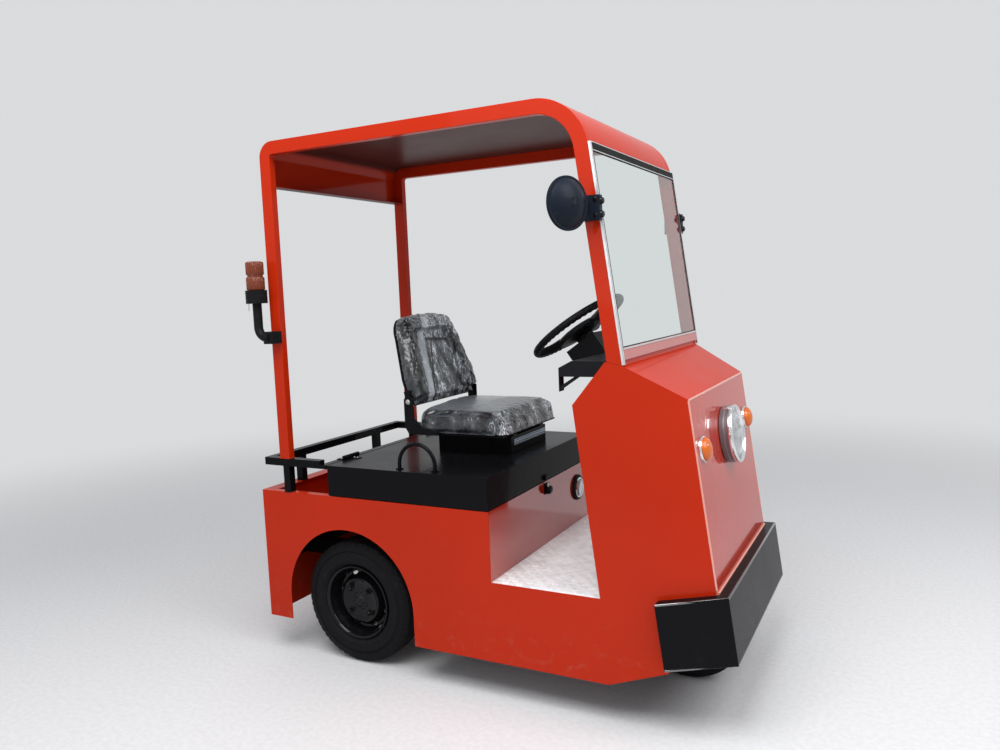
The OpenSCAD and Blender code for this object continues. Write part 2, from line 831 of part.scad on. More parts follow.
// Frame of the backrest: origin on the fold axis, Z along the back
module in_back() { translate([fold_x, 0, fold_z0]) rotate([0, -back_lean, 0]) children(); }

back_low = -26;
back_face = 14;
pad_half = seat_w / 2 - 9;
pad_top = pad_half - 37;
pad_shoulder = 95;
waist_z = 90;

// Outline of the backrest seen from the front, drawn in by an inset
module back_outline(inset) {
    r = pad_shoulder - inset;
    top = back_low + back_h - inset;
    crown_r = 1100;
    translate([seat_y, 0]) intersection() {
        union() {
            polygon([[-pad_half + inset, back_low + inset], [pad_half - inset, back_low + inset],
                [pad_half - inset, waist_z], [pad_top - inset, top - r], [pad_top - inset - r, top],
                [-pad_top + inset + r, top], [-pad_top + inset, top - r], [-pad_half + inset, waist_z]]);
            for (s = [-1, 1]) translate([s * (pad_top - inset - r), top - r]) circle(r = r);
        }
        translate([0, top - crown_r]) circle(r = crown_r, $fn = 360);
    }
}

module back_layer(x0, x1) { translate([x0, 0, 0]) rotate([90, 0, 90]) linear_extrude(x1 - x0) children(); }

// The raised rolls round the backrest: an upside down U, drawn in by an inset
module back_rolls(inset) {
    w = pad_half - roll_w + inset;
    top = back_low + back_h - roll_w + inset;
    difference() {
        back_outline(2 + inset);
        translate([seat_y, 0])
            polygon([[-w, back_low - 5], [w, back_low - 5], [w - 22, top], [-w + 22, top]]);
        translate([seat_y - seat_w, back_low - 10]) square([2 * seat_w, 40 + inset]);
    }
}

module seat_back() {
    color("silver") in_back() {
        back_layer(back_face - back_t, back_face) back_outline(0);
        back_layer(back_face - 1, back_face + roll_d - 10) back_rolls(0);
        back_layer(back_face + roll_d - 11, back_face + roll_d) back_rolls(6);
    }
}

module back_frame() {
    rear = back_face - back_t;
    arm = seat_w / 2 - 5;
    ear_low = -16;
    ear_high = 44;
    color("black") in_back() {
        for (s = [-1, 1]) {
            round_y([0, seat_y + s * (seat_w / 2 + 2) - 10, 0], fold_pin_r, 20);
            box([rear - shell_t, seat_y + s * arm - ear_t / 2, ear_low],
                [10, seat_y + s * arm + ear_t / 2, ear_high]);
            box([rear - shell_t, seat_y + s * (arm - 12) - 15, ear_low],
                [rear, seat_y + s * (arm - 12) + 15, ear_high]);
        }
        back_layer(rear - shell_t, rear) back_outline(5);
    }
}

// Frame of the steering column: origin at the middle of the steering wheel, Z towards the driver
module column_axis() {
    translate([wheel_x, wheel_y, wheel_z]) rotate([0, column_slope - 90, 0]) children();
}

// Length of the column from the wheel's middle to the steering gear on the head
box_s = (wheel_z - head_top - gear_h / 2) / sin(column_slope);

module steering_wheel() {
    color("black") column_axis() {
        rotate_extrude() translate([rim_r, 0]) circle(r = grip_r, $fn = 32);
        translate([0, 0, -pad_drop - pad_t]) cylinder(h = pad_t, r = pad_r);
        translate([0, 0, -hub_drop]) cylinder(h = hub_drop - pad_drop, r = hub_r);
        for (a = [0 : 2]) rotate([0, 0, spoke_turn + a * 120])
            translate([0, -spoke_w / 2, -pad_drop - pad_t + 8]) {
                translate([pad_r - 12, 0, 0]) cube([rim_r - pad_r + 8, spoke_w, pad_t / 2]);
                translate([rim_r - 12, 0, 0]) cube([12, spoke_w, pad_drop + pad_t - 10]);
            }
    }
}

module steering_column() {
    near = dash_x + 20;
    far = dash_x + 90;
    color("black") {
        column_axis() translate([0, 0, -box_s]) cylinder(h = box_s - hub_drop - hub_gap, r = column_r);
        intersection() {
            column_axis() translate([-cover_d / 2, -cover_w / 2, -hub_drop - hub_gap - cover_l])
                cube([cover_d, cover_w, cover_l]);
            box([0, -half_w, 0], [dash_x - 2, half_w, roof_z]);
        }
        for (s = [-1, 1])
            slab(wheel_y + s * (column_r + 3) - 3, wheel_y + s * (column_r + 3) + 3)
                polygon([[near, dash_low], [far, dash_low],
                    [far, wheel_z - (far - wheel_x) * tan(column_slope) - 10],
                    [near, wheel_z - (near - wheel_x) * tan(column_slope) - 10]]);
    }
}

module steering_head() {
    rail_y = beam_y - beam_w / 2;
    color("dimgray") difference() {
        union() {
            box([fork_x - head_l / 2, -beam_y + 5, head_z],
                [fork_x + head_l / 2, beam_y - 5, head_z + plate_t]);
            round_z([fork_x, 0, head_z], stem_r + head_wall, head_top - head_z);
            for (s = [-1, 1])
                box([fork_x - head_l / 2, s * rail_y - beam_w / 2, beam_top],
                    [fork_x + head_l / 2, s * rail_y + beam_w / 2, head_z]);
            box([fork_x - gear_l / 2 - 10, -gear_w, head_top - 10],
                [fork_x + gear_l / 2 - 10, wheel_y + column_r + 14, head_top + gear_h]);
        }
        round_z([fork_x, 0, head_z - 1], stem_r + fit, head_h - stem_short + 11);
        column_axis() translate([0, 0, -box_s]) cylinder(h = box_s, r = column_r);
    }
}

module front_fork() {
    crown = head_z - fork_gap;
    inner = front_tyre_w / 2 + fork_side;
    color("dimgray") {
        box([fork_x - fork_l / 2, -inner - fork_t, crown - fork_t],
            [fork_x + fork_l / 2, inner + fork_t, crown]);
        round_z([fork_x, 0, crown], stem_r, head_top - stem_short - crown);
        for (s = [-1, 1])
            slab(s * (inner + fork_t / 2) - fork_t / 2, s * (inner + fork_t / 2) + fork_t / 2)
                polygon([[fork_x - fork_l / 2 + 5, crown - fork_t], [fork_x - eye_r, front_tyre_r - eye_r],
                    [fork_x + eye_r, front_tyre_r - eye_r], [fork_x + fork_l / 2 - 5, crown - fork_t]]);
        round_y([fork_x, -inner - fork_t - 10, front_tyre_r], pin_r, 2 * (inner + fork_t + 10));
    }
}

// Tyre section turned about the axle: full tread with rounded shoulders, bead at the disc's edge
module tyre(r, w, bead) {
    s = shoulder;
    rotate([90, 0, 0]) rotate_extrude($fn = 128) {
        translate([bead, -w / 2 + 8]) square([r - bead - s, w - 16]);
        translate([bead + 14, -w / 2]) square([r - bead - 14 - s, w]);
        translate([bead, -w / 2 + s]) square([r - bead, w - 2 * s]);
        for (e = [-1, 1]) translate([r - s, e * (w / 2 - s)]) circle(r = s, $fn = 32);
    }
}

module disc(r, w, bore, lugs, pcd) {
    face = w / 2 - hub_in;
    dish = w / 2 - 52;
    rotate([90, 0, 0]) difference() {
        union() {
            rotate_extrude() {
                translate([r - 14, -w / 2]) square([14, 6]);
                translate([r - 14, w / 2 - 6]) square([14, 6]);
                translate([r - 20, -w / 2]) square([6, w]);
                translate([bore, face - 8]) square([r * 0.62 - bore, 8]);
                translate([r * 0.62 - 8, dish - 8]) square([8, face - dish + 8]);
                translate([r * 0.62 - 8, dish - 8]) square([r - 10 - r * 0.62, 8]);
                translate([bore, dish - 24]) square([22, face - dish + 20]);
            }
            for (k = [0 : lugs - 1]) rotate([0, 0, k * 360 / lugs + 45])
                translate([pcd / 2, 0, face - 4]) cylinder(h = 16, r = 10, $fn = 6);
        }
        for (k = [0 : 7]) rotate([0, 0, k * 45])
            translate([r * 0.73, 0, w / 2 - 70]) cylinder(h = 30, r = r * 0.065);
    }
}

module rear_tyre() {
    y = half_w - tyre_in - tyre_w / 2;
    color("#222222") translate([axle_x, -y, tyre_r]) tyre(tyre_r, tyre_w, disc_r);
}

module rear_disc() {
    y = half_w - tyre_in - tyre_w / 2;
    color("black") translate([axle_x, -y, tyre_r])
        disc(disc_r, tyre_w - 2 * rim_in, stub_r + fit, lug_n, lug_pcd);
}

module front_tyre() {
    color("#222222") translate([fork_x, 0, front_tyre_r]) tyre(front_tyre_r, front_tyre_w, front_disc_r);
}

module front_disc() {
    color("black") translate([fork_x, 0, front_tyre_r]) rotate([90, 0, 0]) difference() {
        union() {
            rotate_extrude() {
                translate([front_disc_r - 14, -front_tyre_w / 2 + rim_in]) square([14, 6]);
                translate([front_disc_r - 14, front_tyre_w / 2 - rim_in - 6]) square([14, 6]);
                translate([front_disc_r - 20, -front_tyre_w / 2 + rim_in])
                    square([6, front_tyre_w - 2 * rim_in]);
                translate([pin_r + fit, -4]) square([front_disc_r - 16 - pin_r - fit, 8]);
                translate([pin_r + fit, -front_tyre_w / 2 + 2]) square([22, front_tyre_w - 4]);
            }
        }
        for (k = [0 : 5]) rotate([0, 0, k * 60]) translate([front_disc_r * 0.6, 0, -10])
            cylinder(h = 20, r = front_disc_r * 0.13);
    }
}

module rear_axle() {
    wheel_mid = half_w - tyre_in - tyre_w / 2;
    inner = half_w - tyre_in - tyre_w;
    tip = wheel_mid + tyre_w / 2 - rim_in - hub_in + 6;
    rail_y = beam_y - beam_w / 2;
    color("dimgray") {
        round_y([axle_x, -inner + 12, tyre_r], axle_r, 2 * (inner - 12));
        round_y([axle_x, -tip, tyre_r], stub_r, 2 * tip);
        round_y([axle_x, -gearcase_l / 2, tyre_r], gearcase_r, gearcase_l);
        round_y([axle_x, gearcase_l / 2, tyre_r], motor_r, motor_l);
        for (s = [-1, 1])
            box([axle_x - axle_r - 9, s * rail_y - beam_w / 2 + 4, tyre_r - axle_r - 9],
                [axle_x + axle_r + 9, s * rail_y + beam_w / 2 - 4, beam_z]);
    }
}

module chassis_frame() {
    color("black") {
        for (s = [-1, 1])
            box([skin, s * (beam_y - beam_w / 2) - beam_w / 2, beam_z],
                [front_beam_x + 1, s * (beam_y - beam_w / 2) + beam_w / 2, beam_top]);
        for (x = [skin, well_x + 380, foot_x - 50, step_x - 110])
            box([x, -half_w + skin, beam_z + 10], [x + 50, half_w - skin, beam_top]);
        box([front_beam_x, -nose_half + 25, beam_z + 10],
            [front_beam_x + 40, nose_half - 25, beam_top]);
        box([foot_x - 30 - battery_l, -beam_y, beam_top], [foot_x - 12, beam_y, floor_z]);
    }
}

module battery() {
    color("dimgray") box([foot_x - 22 - battery_l, -battery_w / 2, floor_z],
        [foot_x - 22, battery_w / 2, floor_z + battery_h]);
}

module tow_hitch() {
    z0 = hitch_z - jaw_gap / 2 - jaw_t;
    z1 = hitch_z + jaw_gap / 2 + jaw_t;
    color("black") difference() {
        union() {
            box([-hitch_plate, -hitch_w / 2 - 30, z0 - 15], [0, hitch_w / 2 + 30, z1 + 15]);
            for (z = [z0, z1 - jaw_t])
                box([-hitch_l, -hitch_w / 2, z], [-hitch_plate, hitch_w / 2, z + jaw_t]);
        }
        round_z([hole_x, 0, z0 - 1], hitch_r, z1 - z0 + 2);
    }
}

hole_x = -hitch_l + hitch_r + 18;

module hitch_pin() {
    z1 = hitch_z + jaw_gap / 2 + jaw_t;
    color("silver") {
        round_z([hole_x, 0, hitch_z - jaw_gap / 2 - jaw_t - 20], hitch_r - pin_play,
            jaw_gap + 2 * jaw_t + 20 + 12);
        round_z([hole_x, 0, z1], hitch_r + 8, 8);
        translate([hole_x, 0, z1 + 8 + ring_r]) rotate([90, 0, 0])
            rotate_extrude() translate([ring_r, 0]) circle(r = ring_bar, $fn = 24);
    }
}

module on_face(y, drop) {
    in_nose() translate([nose_p, y, bonnet_v - drop]) rotate([0, 90, 0]) children();
}

module headlight_shell() {
    color("silver") on_face(lamp_y, lamp_drop) rotate_extrude() difference() {
        union() {
            square([lamp_r - 3, lamp_d - 8]);
            translate([0, lamp_d - 16]) square([lamp_r, 10]);
        }
        translate([-1, lamp_d - 20]) square([lamp_r - lamp_rim, 30]);
    }
}

module headlight_lens() {
    r = lamp_r - lamp_rim - 1;
    ball_r = (r * r + lens_bulge * lens_bulge) / (2 * lens_bulge);
    color("white") on_face(lamp_y, lamp_drop) intersection() {
        translate([0, 0, lamp_d - 20]) cylinder(h = lens_bulge + 10, r = r);
        translate([0, 0, lamp_d + 4 - ball_r]) sphere(r = ball_r);
    }
}

module indicators() {
    color("orange") for (s = [-1, 1]) on_face(s * signal_y, signal_drop) {
        cylinder(h = signal_d - 12, r = signal_r);
        translate([0, 0, signal_d - 12]) intersection() {
            cylinder(h = 14, r = signal_r - 5);
            translate([0, 0, -80]) sphere(r = 92);
        }
    }
}

module mirrors() {
    color("black") for (s = [-1, 1]) both(s) {
        translate([mirror_x, -half_w - mirror_out, mirror_z])
            rotate([0, 0, -mirror_turn]) rotate([0, 90, 0]) rotate_extrude() {
                square([mirror_r, mirror_rim]);
                intersection() {
                    translate([0, mirror_rim]) square([mirror_r - 3, mirror_d - mirror_rim]);
                    translate([0, mirror_d - 100]) circle(r = 100, $fn = 160);
                }
            }
        // Arm from the mirror's inner edge to the clamp on the pillar
        px = rake_x(mirror_z) - tube_w / 2;
        box([px - 34, -half_w - 22, mirror_z - 48], [px + 40, -half_w, mirror_z + 28]);
        round_y([px - 6, -half_w - mirror_out + 30, mirror_z], 8, mirror_out - 30);
        box([mirror_x - 4, -half_w - mirror_out + 22, mirror_z - 10],
            [px + 4, -half_w - mirror_out + 44, mirror_z + 10]);
    }
}

module beacon_bracket() {
    y = -half_w - beacon_out;
    bend = 40;
    elbow = beacon_z - 140;
    color("black") {
        round_z([beacon_x, y, beacon_z - beacon_foot_h], beacon_r + beacon_foot, beacon_foot_h);
        round_z([beacon_x, y, elbow], stalk_r, beacon_z - elbow);
        translate([beacon_x + bend, y, elbow]) rotate([90, 0, 0]) rotate([0, 0, 180])
            rotate_extrude(angle = 90) translate([bend, 0]) circle(r = stalk_r, $fn = 32);
        round_x([beacon_x + bend, y, elbow - bend], stalk_r, 12);
        box([beacon_x + bend - 14, y - 6, elbow - bend - 24],
            [beacon_x + bend + 30, -half_w, elbow - bend + 22]);
    }
}

module beacon_lens() {
    y = -half_w - beacon_out;
    tier = beacon_h / 2;
    color("orange") {
        round_z([beacon_x, y, beacon_z], beacon_r, tier - 3);
        round_z([beacon_x, y, beacon_z + tier - 3], beacon_r - 5, 6);
        round_z([beacon_x, y, beacon_z + tier + 3], beacon_r - 1, tier - 12);
        round_z([beacon_x, y, beacon_z + 2 * tier - 9], beacon_r - 8, 9);
    }
}

// Columns: distance from the centre line to the left, width of the pad, height of the pad
pedal_list = [[-60, 70, 60], [-200, 55, 90]];

module pedals() {
    x = bulkhead_x - pedal_reach;
    color("black") for (p = pedal_list) {
        translate([x, p[0], floor_z + 22]) rotate([0, -50, 0])
            translate([0, -p[1] / 2, 0]) cube([p[2], p[1], pedal_t]);
        slab(p[0] - 5, p[0] + 5) polygon([[x + 20, floor_z + 30], [x + 32, floor_z + 30],
            [bulkhead_x, floor_z + pedal_reach], [bulkhead_x, floor_z + pedal_reach + 14]]);
        box([x - 2, p[0] - 12, floor_z], [x + 30, p[0] + 12, floor_z + 30]);
    }
}

module charge_port() {
    color("silver") {
        round_x([foot_x, port_y, port_z], port_r, 12);
        round_x([foot_x + 12, port_y, port_z], port_r - 10, 6);
    }
}

module lid_latch() {
    color("black") {
        box([foot_x, latch_y - latch_w / 2, lid_z - 52],
            [foot_x + 8, latch_y + latch_w / 2, lid_z - 10]);
        round_x([foot_x + 8, latch_y, lid_z - 32], latch_r, 18);
    }
}

shift() chassis_frame();
shift() side_panel();  // side_panel_right
shift() left() side_panel();  // side_panel_left
shift() rear_panel();
shift() well_floor();
shift() floor_plate();
shift() kick_panel();
shift() bulkhead();
shift() bonnet_top();
shift() front_panel();
shift() dash();
shift() bumper();
shift() roof_sheet();
shift() roof_frame();
shift() windscreen_frame();
shift() windscreen_glass();
shift() guard_rail();
shift() headlight_shell();
shift() headlight_lens();
shift() indicators();
shift() mirrors();
shift() beacon_bracket();
shift() beacon_lens();
shift() steering_column();
shift() steering_head();
shift() pedals();
shift() charge_port();
shift() lid_latch();
shift() battery();
shift() rear_axle();
shift() tow_hitch();
shift() hitch_pin();
shift() steering_wheel();
shift() front_fork();
shift() front_tyre();
shift() front_disc();
shift() rear_tyre();  // rear_tyre_right
shift() left() rear_tyre();  // rear_tyre_left
shift() rear_disc();  // rear_disc_right
shift() left() rear_disc();  // rear_disc_left
shift() deck_lid();
shift() lid_handles();
shift() seat_plinth();
shift() seat_pan();
shift() seat_cushion();
shift() seat_back();
shift() back_frame();
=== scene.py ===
# %% [markdown]
# # Dressing a three-wheeled baggage tug
#
# The tug is a folded sheet metal body on a welded frame, with a bent tube roof, a windscreen, a lifting
# deck lid and a driver's seat that is still wrapped in clear film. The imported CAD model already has
# every panel, tube and wheel in its place. This lesson gives each of them its finish and builds the
# pieces whose forms are finer than the CAD: pads, tyres, rims, lamps, tread plate, bolts and seams.

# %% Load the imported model
import json
import math

import bmesh
import bpy
import numpy as np
from mathutils import Matrix, Vector, noise


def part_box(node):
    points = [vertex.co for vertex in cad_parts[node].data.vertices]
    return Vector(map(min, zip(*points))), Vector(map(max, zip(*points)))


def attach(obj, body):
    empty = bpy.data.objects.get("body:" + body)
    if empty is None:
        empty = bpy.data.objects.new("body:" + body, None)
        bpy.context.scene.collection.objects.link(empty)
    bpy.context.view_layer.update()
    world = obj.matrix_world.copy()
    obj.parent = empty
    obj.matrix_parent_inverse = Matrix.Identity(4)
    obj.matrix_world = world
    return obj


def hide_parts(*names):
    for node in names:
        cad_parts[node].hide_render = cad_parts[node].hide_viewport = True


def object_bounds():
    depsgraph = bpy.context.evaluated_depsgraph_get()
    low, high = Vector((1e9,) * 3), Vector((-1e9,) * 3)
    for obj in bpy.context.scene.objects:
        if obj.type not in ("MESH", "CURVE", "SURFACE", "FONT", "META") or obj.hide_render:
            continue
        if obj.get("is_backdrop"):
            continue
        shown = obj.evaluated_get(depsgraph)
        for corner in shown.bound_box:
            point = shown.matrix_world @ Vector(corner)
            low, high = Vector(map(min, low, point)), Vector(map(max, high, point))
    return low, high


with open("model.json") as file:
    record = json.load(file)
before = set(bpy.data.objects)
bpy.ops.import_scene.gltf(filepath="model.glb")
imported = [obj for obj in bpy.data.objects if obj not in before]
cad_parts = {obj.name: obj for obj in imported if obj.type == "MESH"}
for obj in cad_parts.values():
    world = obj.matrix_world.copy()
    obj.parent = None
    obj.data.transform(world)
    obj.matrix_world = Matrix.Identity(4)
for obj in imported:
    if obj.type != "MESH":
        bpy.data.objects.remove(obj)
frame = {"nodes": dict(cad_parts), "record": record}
cad_low, cad_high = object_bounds()
print("CAD box", [round(v, 3) for v in (*cad_low, *cad_high)])

# %% [markdown]
# ## Places on the vehicle
#
# A workshop drawing gives lengths in millimetres from the rear panel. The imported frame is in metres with
# its origin under the middle of the vehicle. One function turns the first into the second, so that
# every later cell can use the drawing's own numbers.

# %% Places in the drawing's millimetres
MM = 0.001
HITCH_REACH = 90
MIDDLE = -HITCH_REACH - cad_low.x / MM


def at(x, y, z):
    """A point of the drawing, in the frame's metres."""
    return Vector(((x - MIDDLE) * MM, y * MM, z * MM))


def leaning(x, y, z, degrees):
    """A frame at a point of the drawing that leans back by an angle, with lengths in millimetres."""
    lean = Matrix.Rotation(math.radians(-degrees), 4, "Y")
    return Matrix.Translation(at(x, y, z)) @ lean @ Matrix.Scale(MM, 4)


def facing(x, y, z, direction):
    """A frame at a point of the drawing whose Z points along direction, in millimetres."""
    turn = Vector(direction).to_track_quat("Z", "Y").to_matrix().to_4x4()
    return Matrix.Translation(at(x, y, z)) @ turn @ Matrix.Scale(MM, 4)


def around(place, degrees, offset=(0, 0, 0)):
    """A frame turned about the Z axis of another and then moved, such as one bolt of a circle."""
    return place @ Matrix.Rotation(math.radians(degrees), 4, "Z") @ Matrix.Translation(offset)


plain = leaning(0, 0, 0, 0)
print("middle of the vehicle", round(MIDDLE, 1), "mm in front of the rear panel")

# %% Frames that several pieces share
HALF = 450
RAKE = 7.6
SCREEN_FOOT = (1512, 1167)
BONNET_EDGE = (1701, 1060)
SIDES = {"right": -1, "left": 1}
DIAGONALS = (45, 135, 225, 315)
KICK_X = 1022
FOLD_X, FOLD_Y, FOLD_Z = 520, 100, 988
AXLE_X, HALF_TRACK, FORK_X = 404, 347.5, 1585
REAR_TYRE = {"radius": 240, "width": 135, "bead": 143}
FRONT_TYRE = {"radius": 207, "width": 108, "bead": 116}

nose = leaning(SCREEN_FOOT[0], 0, SCREEN_FOOT[1], RAKE)
rake = math.radians(RAKE)
run, fall = BONNET_EDGE[0] - SCREEN_FOOT[0], BONNET_EDGE[1] - SCREEN_FOOT[1]
nose_reach = run * math.cos(rake) + fall * math.sin(rake)
bonnet_rise = -run * math.sin(rake) + fall * math.cos(rake)


def on_nose(y, drop):
    """A frame on the nose's face whose Z points out of it, in millimetres."""
    turn = Matrix.Rotation(math.radians(90), 4, "Y")
    return nose @ Matrix.Translation((nose_reach, y, bonnet_rise - drop)) @ turn


rear_hubs = {}
for name, side in SIDES.items():
    rear_hubs[name] = facing(AXLE_X, side * HALF_TRACK, REAR_TYRE["radius"], (0, side, 0))
front_hub = facing(FORK_X, 0, FRONT_TYRE["radius"], (0, -1, 0))
print("the nose reaches", round(nose_reach, 1), "mm past the windscreen's foot")

# %% [markdown]
# ## Camera
#
# The photograph was taken from the right front at a standing person's height. The camera was solved from
# the body's straight edges, which gives its place, its three axes and its focal length.

# %% The camera
RIGHT = (0.885359, 0.463143, -0.04048)
UP = (-0.011862, 0.109546, 0.993911)
BACK = (0.464757, -0.879487, 0.102481)
EYE = (1.45614, -2.806, 1.40889)


def placed(name, data):
    """A new object in the scene, around a mesh, a lamp or a camera."""
    thing = bpy.data.objects.new(name, data)
    bpy.context.scene.collection.objects.link(thing)
    return thing


camera = placed("camera", bpy.data.cameras.new("camera"))
camera.matrix_world = Matrix.Translation(EYE) @ Matrix((RIGHT, UP, BACK)).transposed().to_4x4()
camera.data.sensor_width = 36
camera.data.lens = 29.216
camera.data.clip_end = 200
bpy.context.scene.camera = camera
bpy.context.scene.view_settings.view_transform = "Standard"
print("camera lens", camera.data.lens, "mm")

# %% [markdown]
# ## Shader maths as Python
#
# A material's numbers are easiest to read as formulas. This class wraps one output socket of a node
# tree: arithmetic on it adds Math nodes, and one method adds every other kind of node.


# %% A socket with arithmetic
class Socket:
    """One output socket of a shader tree."""

    def __init__(self, tree, output):
        self.tree, self.output = tree, output

    def add(self, kind, settings=None, inputs=None, output=0):
        """Adds a node: its settings first, then the values or links of its sockets."""
        node = self.tree.nodes.new("ShaderNode" + kind)
        for key, value in (settings or {}).items():
            setattr(node, key, value)
        for key, value in (inputs or {}).items():
            if isinstance(value, Socket):
                self.tree.links.new(value.output, node.inputs[key])
            else:
                node.inputs[key].default_value = value
        return Socket(self.tree, node.outputs[output])

    def math(self, operation, first, second=0.0):
        return self.add("Math", {"operation": operation}, {0: first, 1: second})

    def __add__(self, other):
        return self.math("ADD", self, other)

    def __sub__(self, other):
        return self.math("SUBTRACT", self, other)

    def __rsub__(self, other):
        return self.math("SUBTRACT", other, self)

    def __mul__(self, other):
        return self.math("MULTIPLY", self, other)

    def __abs__(self):
        return self.math("ABSOLUTE", self)

    __radd__, __rmul__ = __add__, __mul__

    def between(self, low, high, start=0.0, end=1.0):
        """Runs smoothly from start to end while this value goes from low to high."""
        limits = {"From Min": low, "From Max": high, "To Min": start, "To Max": end}
        return self.add("MapRange", {"interpolation_type": "SMOOTHSTEP"}, {"Value": self, **limits})

    def mix(self, first, second):
        """A colour between two, with this value as the share of the second."""
        return self.add("Mix", {"data_type": "RGBA"}, {0: self, 6: first, 7: second}, 2)

    def upright(self):
        """The Z part of a vector."""
        return self.add("SeparateXYZ", None, {0: self}, 2)

    def grain(self, size, detail=3.0, roughness=0.55, stretch=(1, 1, 1)):
        """Noise from 0 to 1 whose grains are about size metres across, on this vector."""
        place = self.add("VectorMath", {"operation": "MULTIPLY"}, {0: self, 1: stretch})
        inputs = {"Vector": place, "Scale": 1 / size, "Detail": detail, "Roughness": roughness}
        return self.add("TexNoise", None, inputs)


print("socket arithmetic is ready")

# %% [markdown]
# ## Finishes
#
# Each finish is a Principled shader fed by a few masks: a slow drift in colour, a fine grain in the
# roughness and a small bump. The masks read the place on the object, so that a finish has the same
# scale on every piece and moves with it.


# %% A finish
class Finish:
    """A material with one Principled shader."""

    def __init__(self, name, constants):
        self.material = bpy.data.materials.new(name)
        self.material.use_nodes = True
        self.tree = self.material.node_tree
        self.shader = self.tree.nodes["Principled BSDF"]
        for key, value in constants.items():
            self.shader.inputs[key].default_value = value
        coordinates = self.tree.nodes.new("ShaderNodeTexCoord")
        self.here = Socket(self.tree, coordinates.outputs["Object"])
        self.normal = Socket(self.tree, coordinates.outputs["Normal"])

    def attribute(self, name):
        """A number that the mesh keeps for each point."""
        return self.here.add("Attribute", {"attribute_name": name}, None, 2)

    def feed(self, key, socket):
        """Links a mask or a colour to one of the shader's sockets."""
        self.tree.links.new(socket.output, self.shader.inputs[key])

    def bump(self, height, distance):
        """Roughens the surface by a height from 0 to 1, times a distance in metres."""
        self.feed("Normal", self.here.add("Bump", None, {"Height": height, "Distance": distance}))


finishes = {}
print("finish class is ready")

# %% [markdown]
# ### Orange enamel
#
# The body was sprayed by hand after welding: an even glossy orange with a slight orange peel, a little
# drift in tone from coat to coat and dust that dulls the gloss low down. The clear coat does the
# mirror-like part, so that the footwell's wall shows the bright tread plate in front of it.


# %% Sprayed paints
PEEL = 0.00002
DUST_TOP, DUST_FULL = 0.42, 0.10
THIN_COAT = 0.92
BROWN_DUST = (0.30, 0.24, 0.19, 1)
BLACK_DUST = (0.11, 0.10, 0.09, 1)


def sprayed(name, colour, gloss, coat, dust=BROWN_DUST, coat_ior=1.5, under=None):
    """Enamel with a faint orange peel, a slow drift in tone and dust near the ground.

    Surfaces that face down can take a darker colour of their own as painted shade, without the clear coat."""
    constants = {"Coat Weight": coat, "Coat IOR": coat_ior, "Coat Roughness": 0.05}
    paint = Finish(name, {"Specular IOR Level": 0.03, **constants})
    dark = tuple(c * THIN_COAT for c in colour)
    tone = paint.here.grain(0.6, 2).between(0.35, 0.65).mix((*dark, 1), (*colour, 1))
    low = paint.here.upright().between(DUST_TOP, DUST_FULL)
    dusty = low * paint.here.grain(0.05, 6, 0.65).between(0.52, 0.80) * 0.20
    # Faces that point down can take a darker colour as painted shade, and they lose the clear coat.
    if under:
        facing_down_shade = paint.normal.upright().between(-0.5, -0.9)
        tone = facing_down_shade.mix(tone, (*under, 1))
        paint.feed("Coat Weight", (1 - facing_down_shade) * coat)
    paint.feed("Base Color", dusty.mix(tone, dust))
    smear = paint.here.grain(0.30, 4, 0.6).between(0.35, 0.75, gloss, gloss + 0.05)
    paint.feed("Roughness", smear + dusty)
    paint.bump(paint.here.grain(0.008, 1), PEEL)
    return paint


ORANGE = (0.43, 0.020, 0.003)
finishes["body_orange"] = sprayed("orange_enamel", ORANGE, 0.28, 0.22)
finishes["nose_orange"] = sprayed("nose_enamel", ORANGE, 0.24, 0.80, coat_ior=1.6)
# The roof's underside takes a dark brown: painted shade.
finishes["roof_orange"] = sprayed("roof_enamel", ORANGE, 0.30, 0.30, under=(0.075, 0.022, 0.018))
# The bends' lighter, pinker orange is a painted highlight.
finishes["bend_orange"] = sprayed("bend_enamel_highlight", (0.66, 0.20, 0.14), 0.20, 1.0, coat_ior=2.8)
finishes["kick_orange"] = sprayed("polished_orange", ORANGE, 0.22, 1.0, coat_ior=2.2)
# The windscreen frame is orange enamel; its pale pink colour is painted glare.
finishes["frame_salmon"] = sprayed("windscreen_enamel_glare", (0.46, 0.19, 0.18), 0.26, 0.3)
finishes["black_paint"] = sprayed("black_enamel", (0.004, 0.004, 0.005), 0.26, 0.10, BLACK_DUST)
# The bumper bends' slightly lighter black is a painted highlight.
finishes["bend_black"] = sprayed("bend_black", (0.010, 0.010, 0.011), 0.18, 1.0, BLACK_DUST, 2.6)
finishes["chassis_black"] = sprayed("frame_black", (0.006, 0.006, 0.007), 0.42, 0.08, BLACK_DUST)
finishes["dash_black"] = sprayed("dash_black", (0.010, 0.010, 0.012), 0.40, 0.08)
finishes["disc_black"] = sprayed("rim_black", (0.004, 0.004, 0.005), 0.22, 0.35, (0.04, 0.035, 0.03, 1))
print(len(finishes), "paints")

# %% [markdown]
# ### Bare and cast metal
#
# The tread plate is rolled aluminium: bright, with fine rolling lines and scuffs that are rougher than
# the rest. Lamps, trim and screws are the same metal maths with smoother numbers. Castings are painted.


# %% Metals
def metal(name, colour, roughness, scuff, lines=(1, 1, 1), bump=0.00004, share=1.0):
    """Bare metal with scuffs in its roughness and fine rolling lines."""
    bare = Finish(name, {"Metallic": share})
    cloud = bare.here.grain(0.06, 5, 0.6)
    scratch = bare.here.grain(0.003, 2, 0.5, lines)
    worn = tuple(c * 0.86 for c in colour)
    bare.feed("Base Color", cloud.between(0.35, 0.7).mix((*colour, 1), (*worn, 1)))
    bare.feed("Roughness", cloud.between(0.35, 0.7, roughness, roughness + scuff) + scratch * 0.06)
    bare.bump(scratch, bump)
    return bare


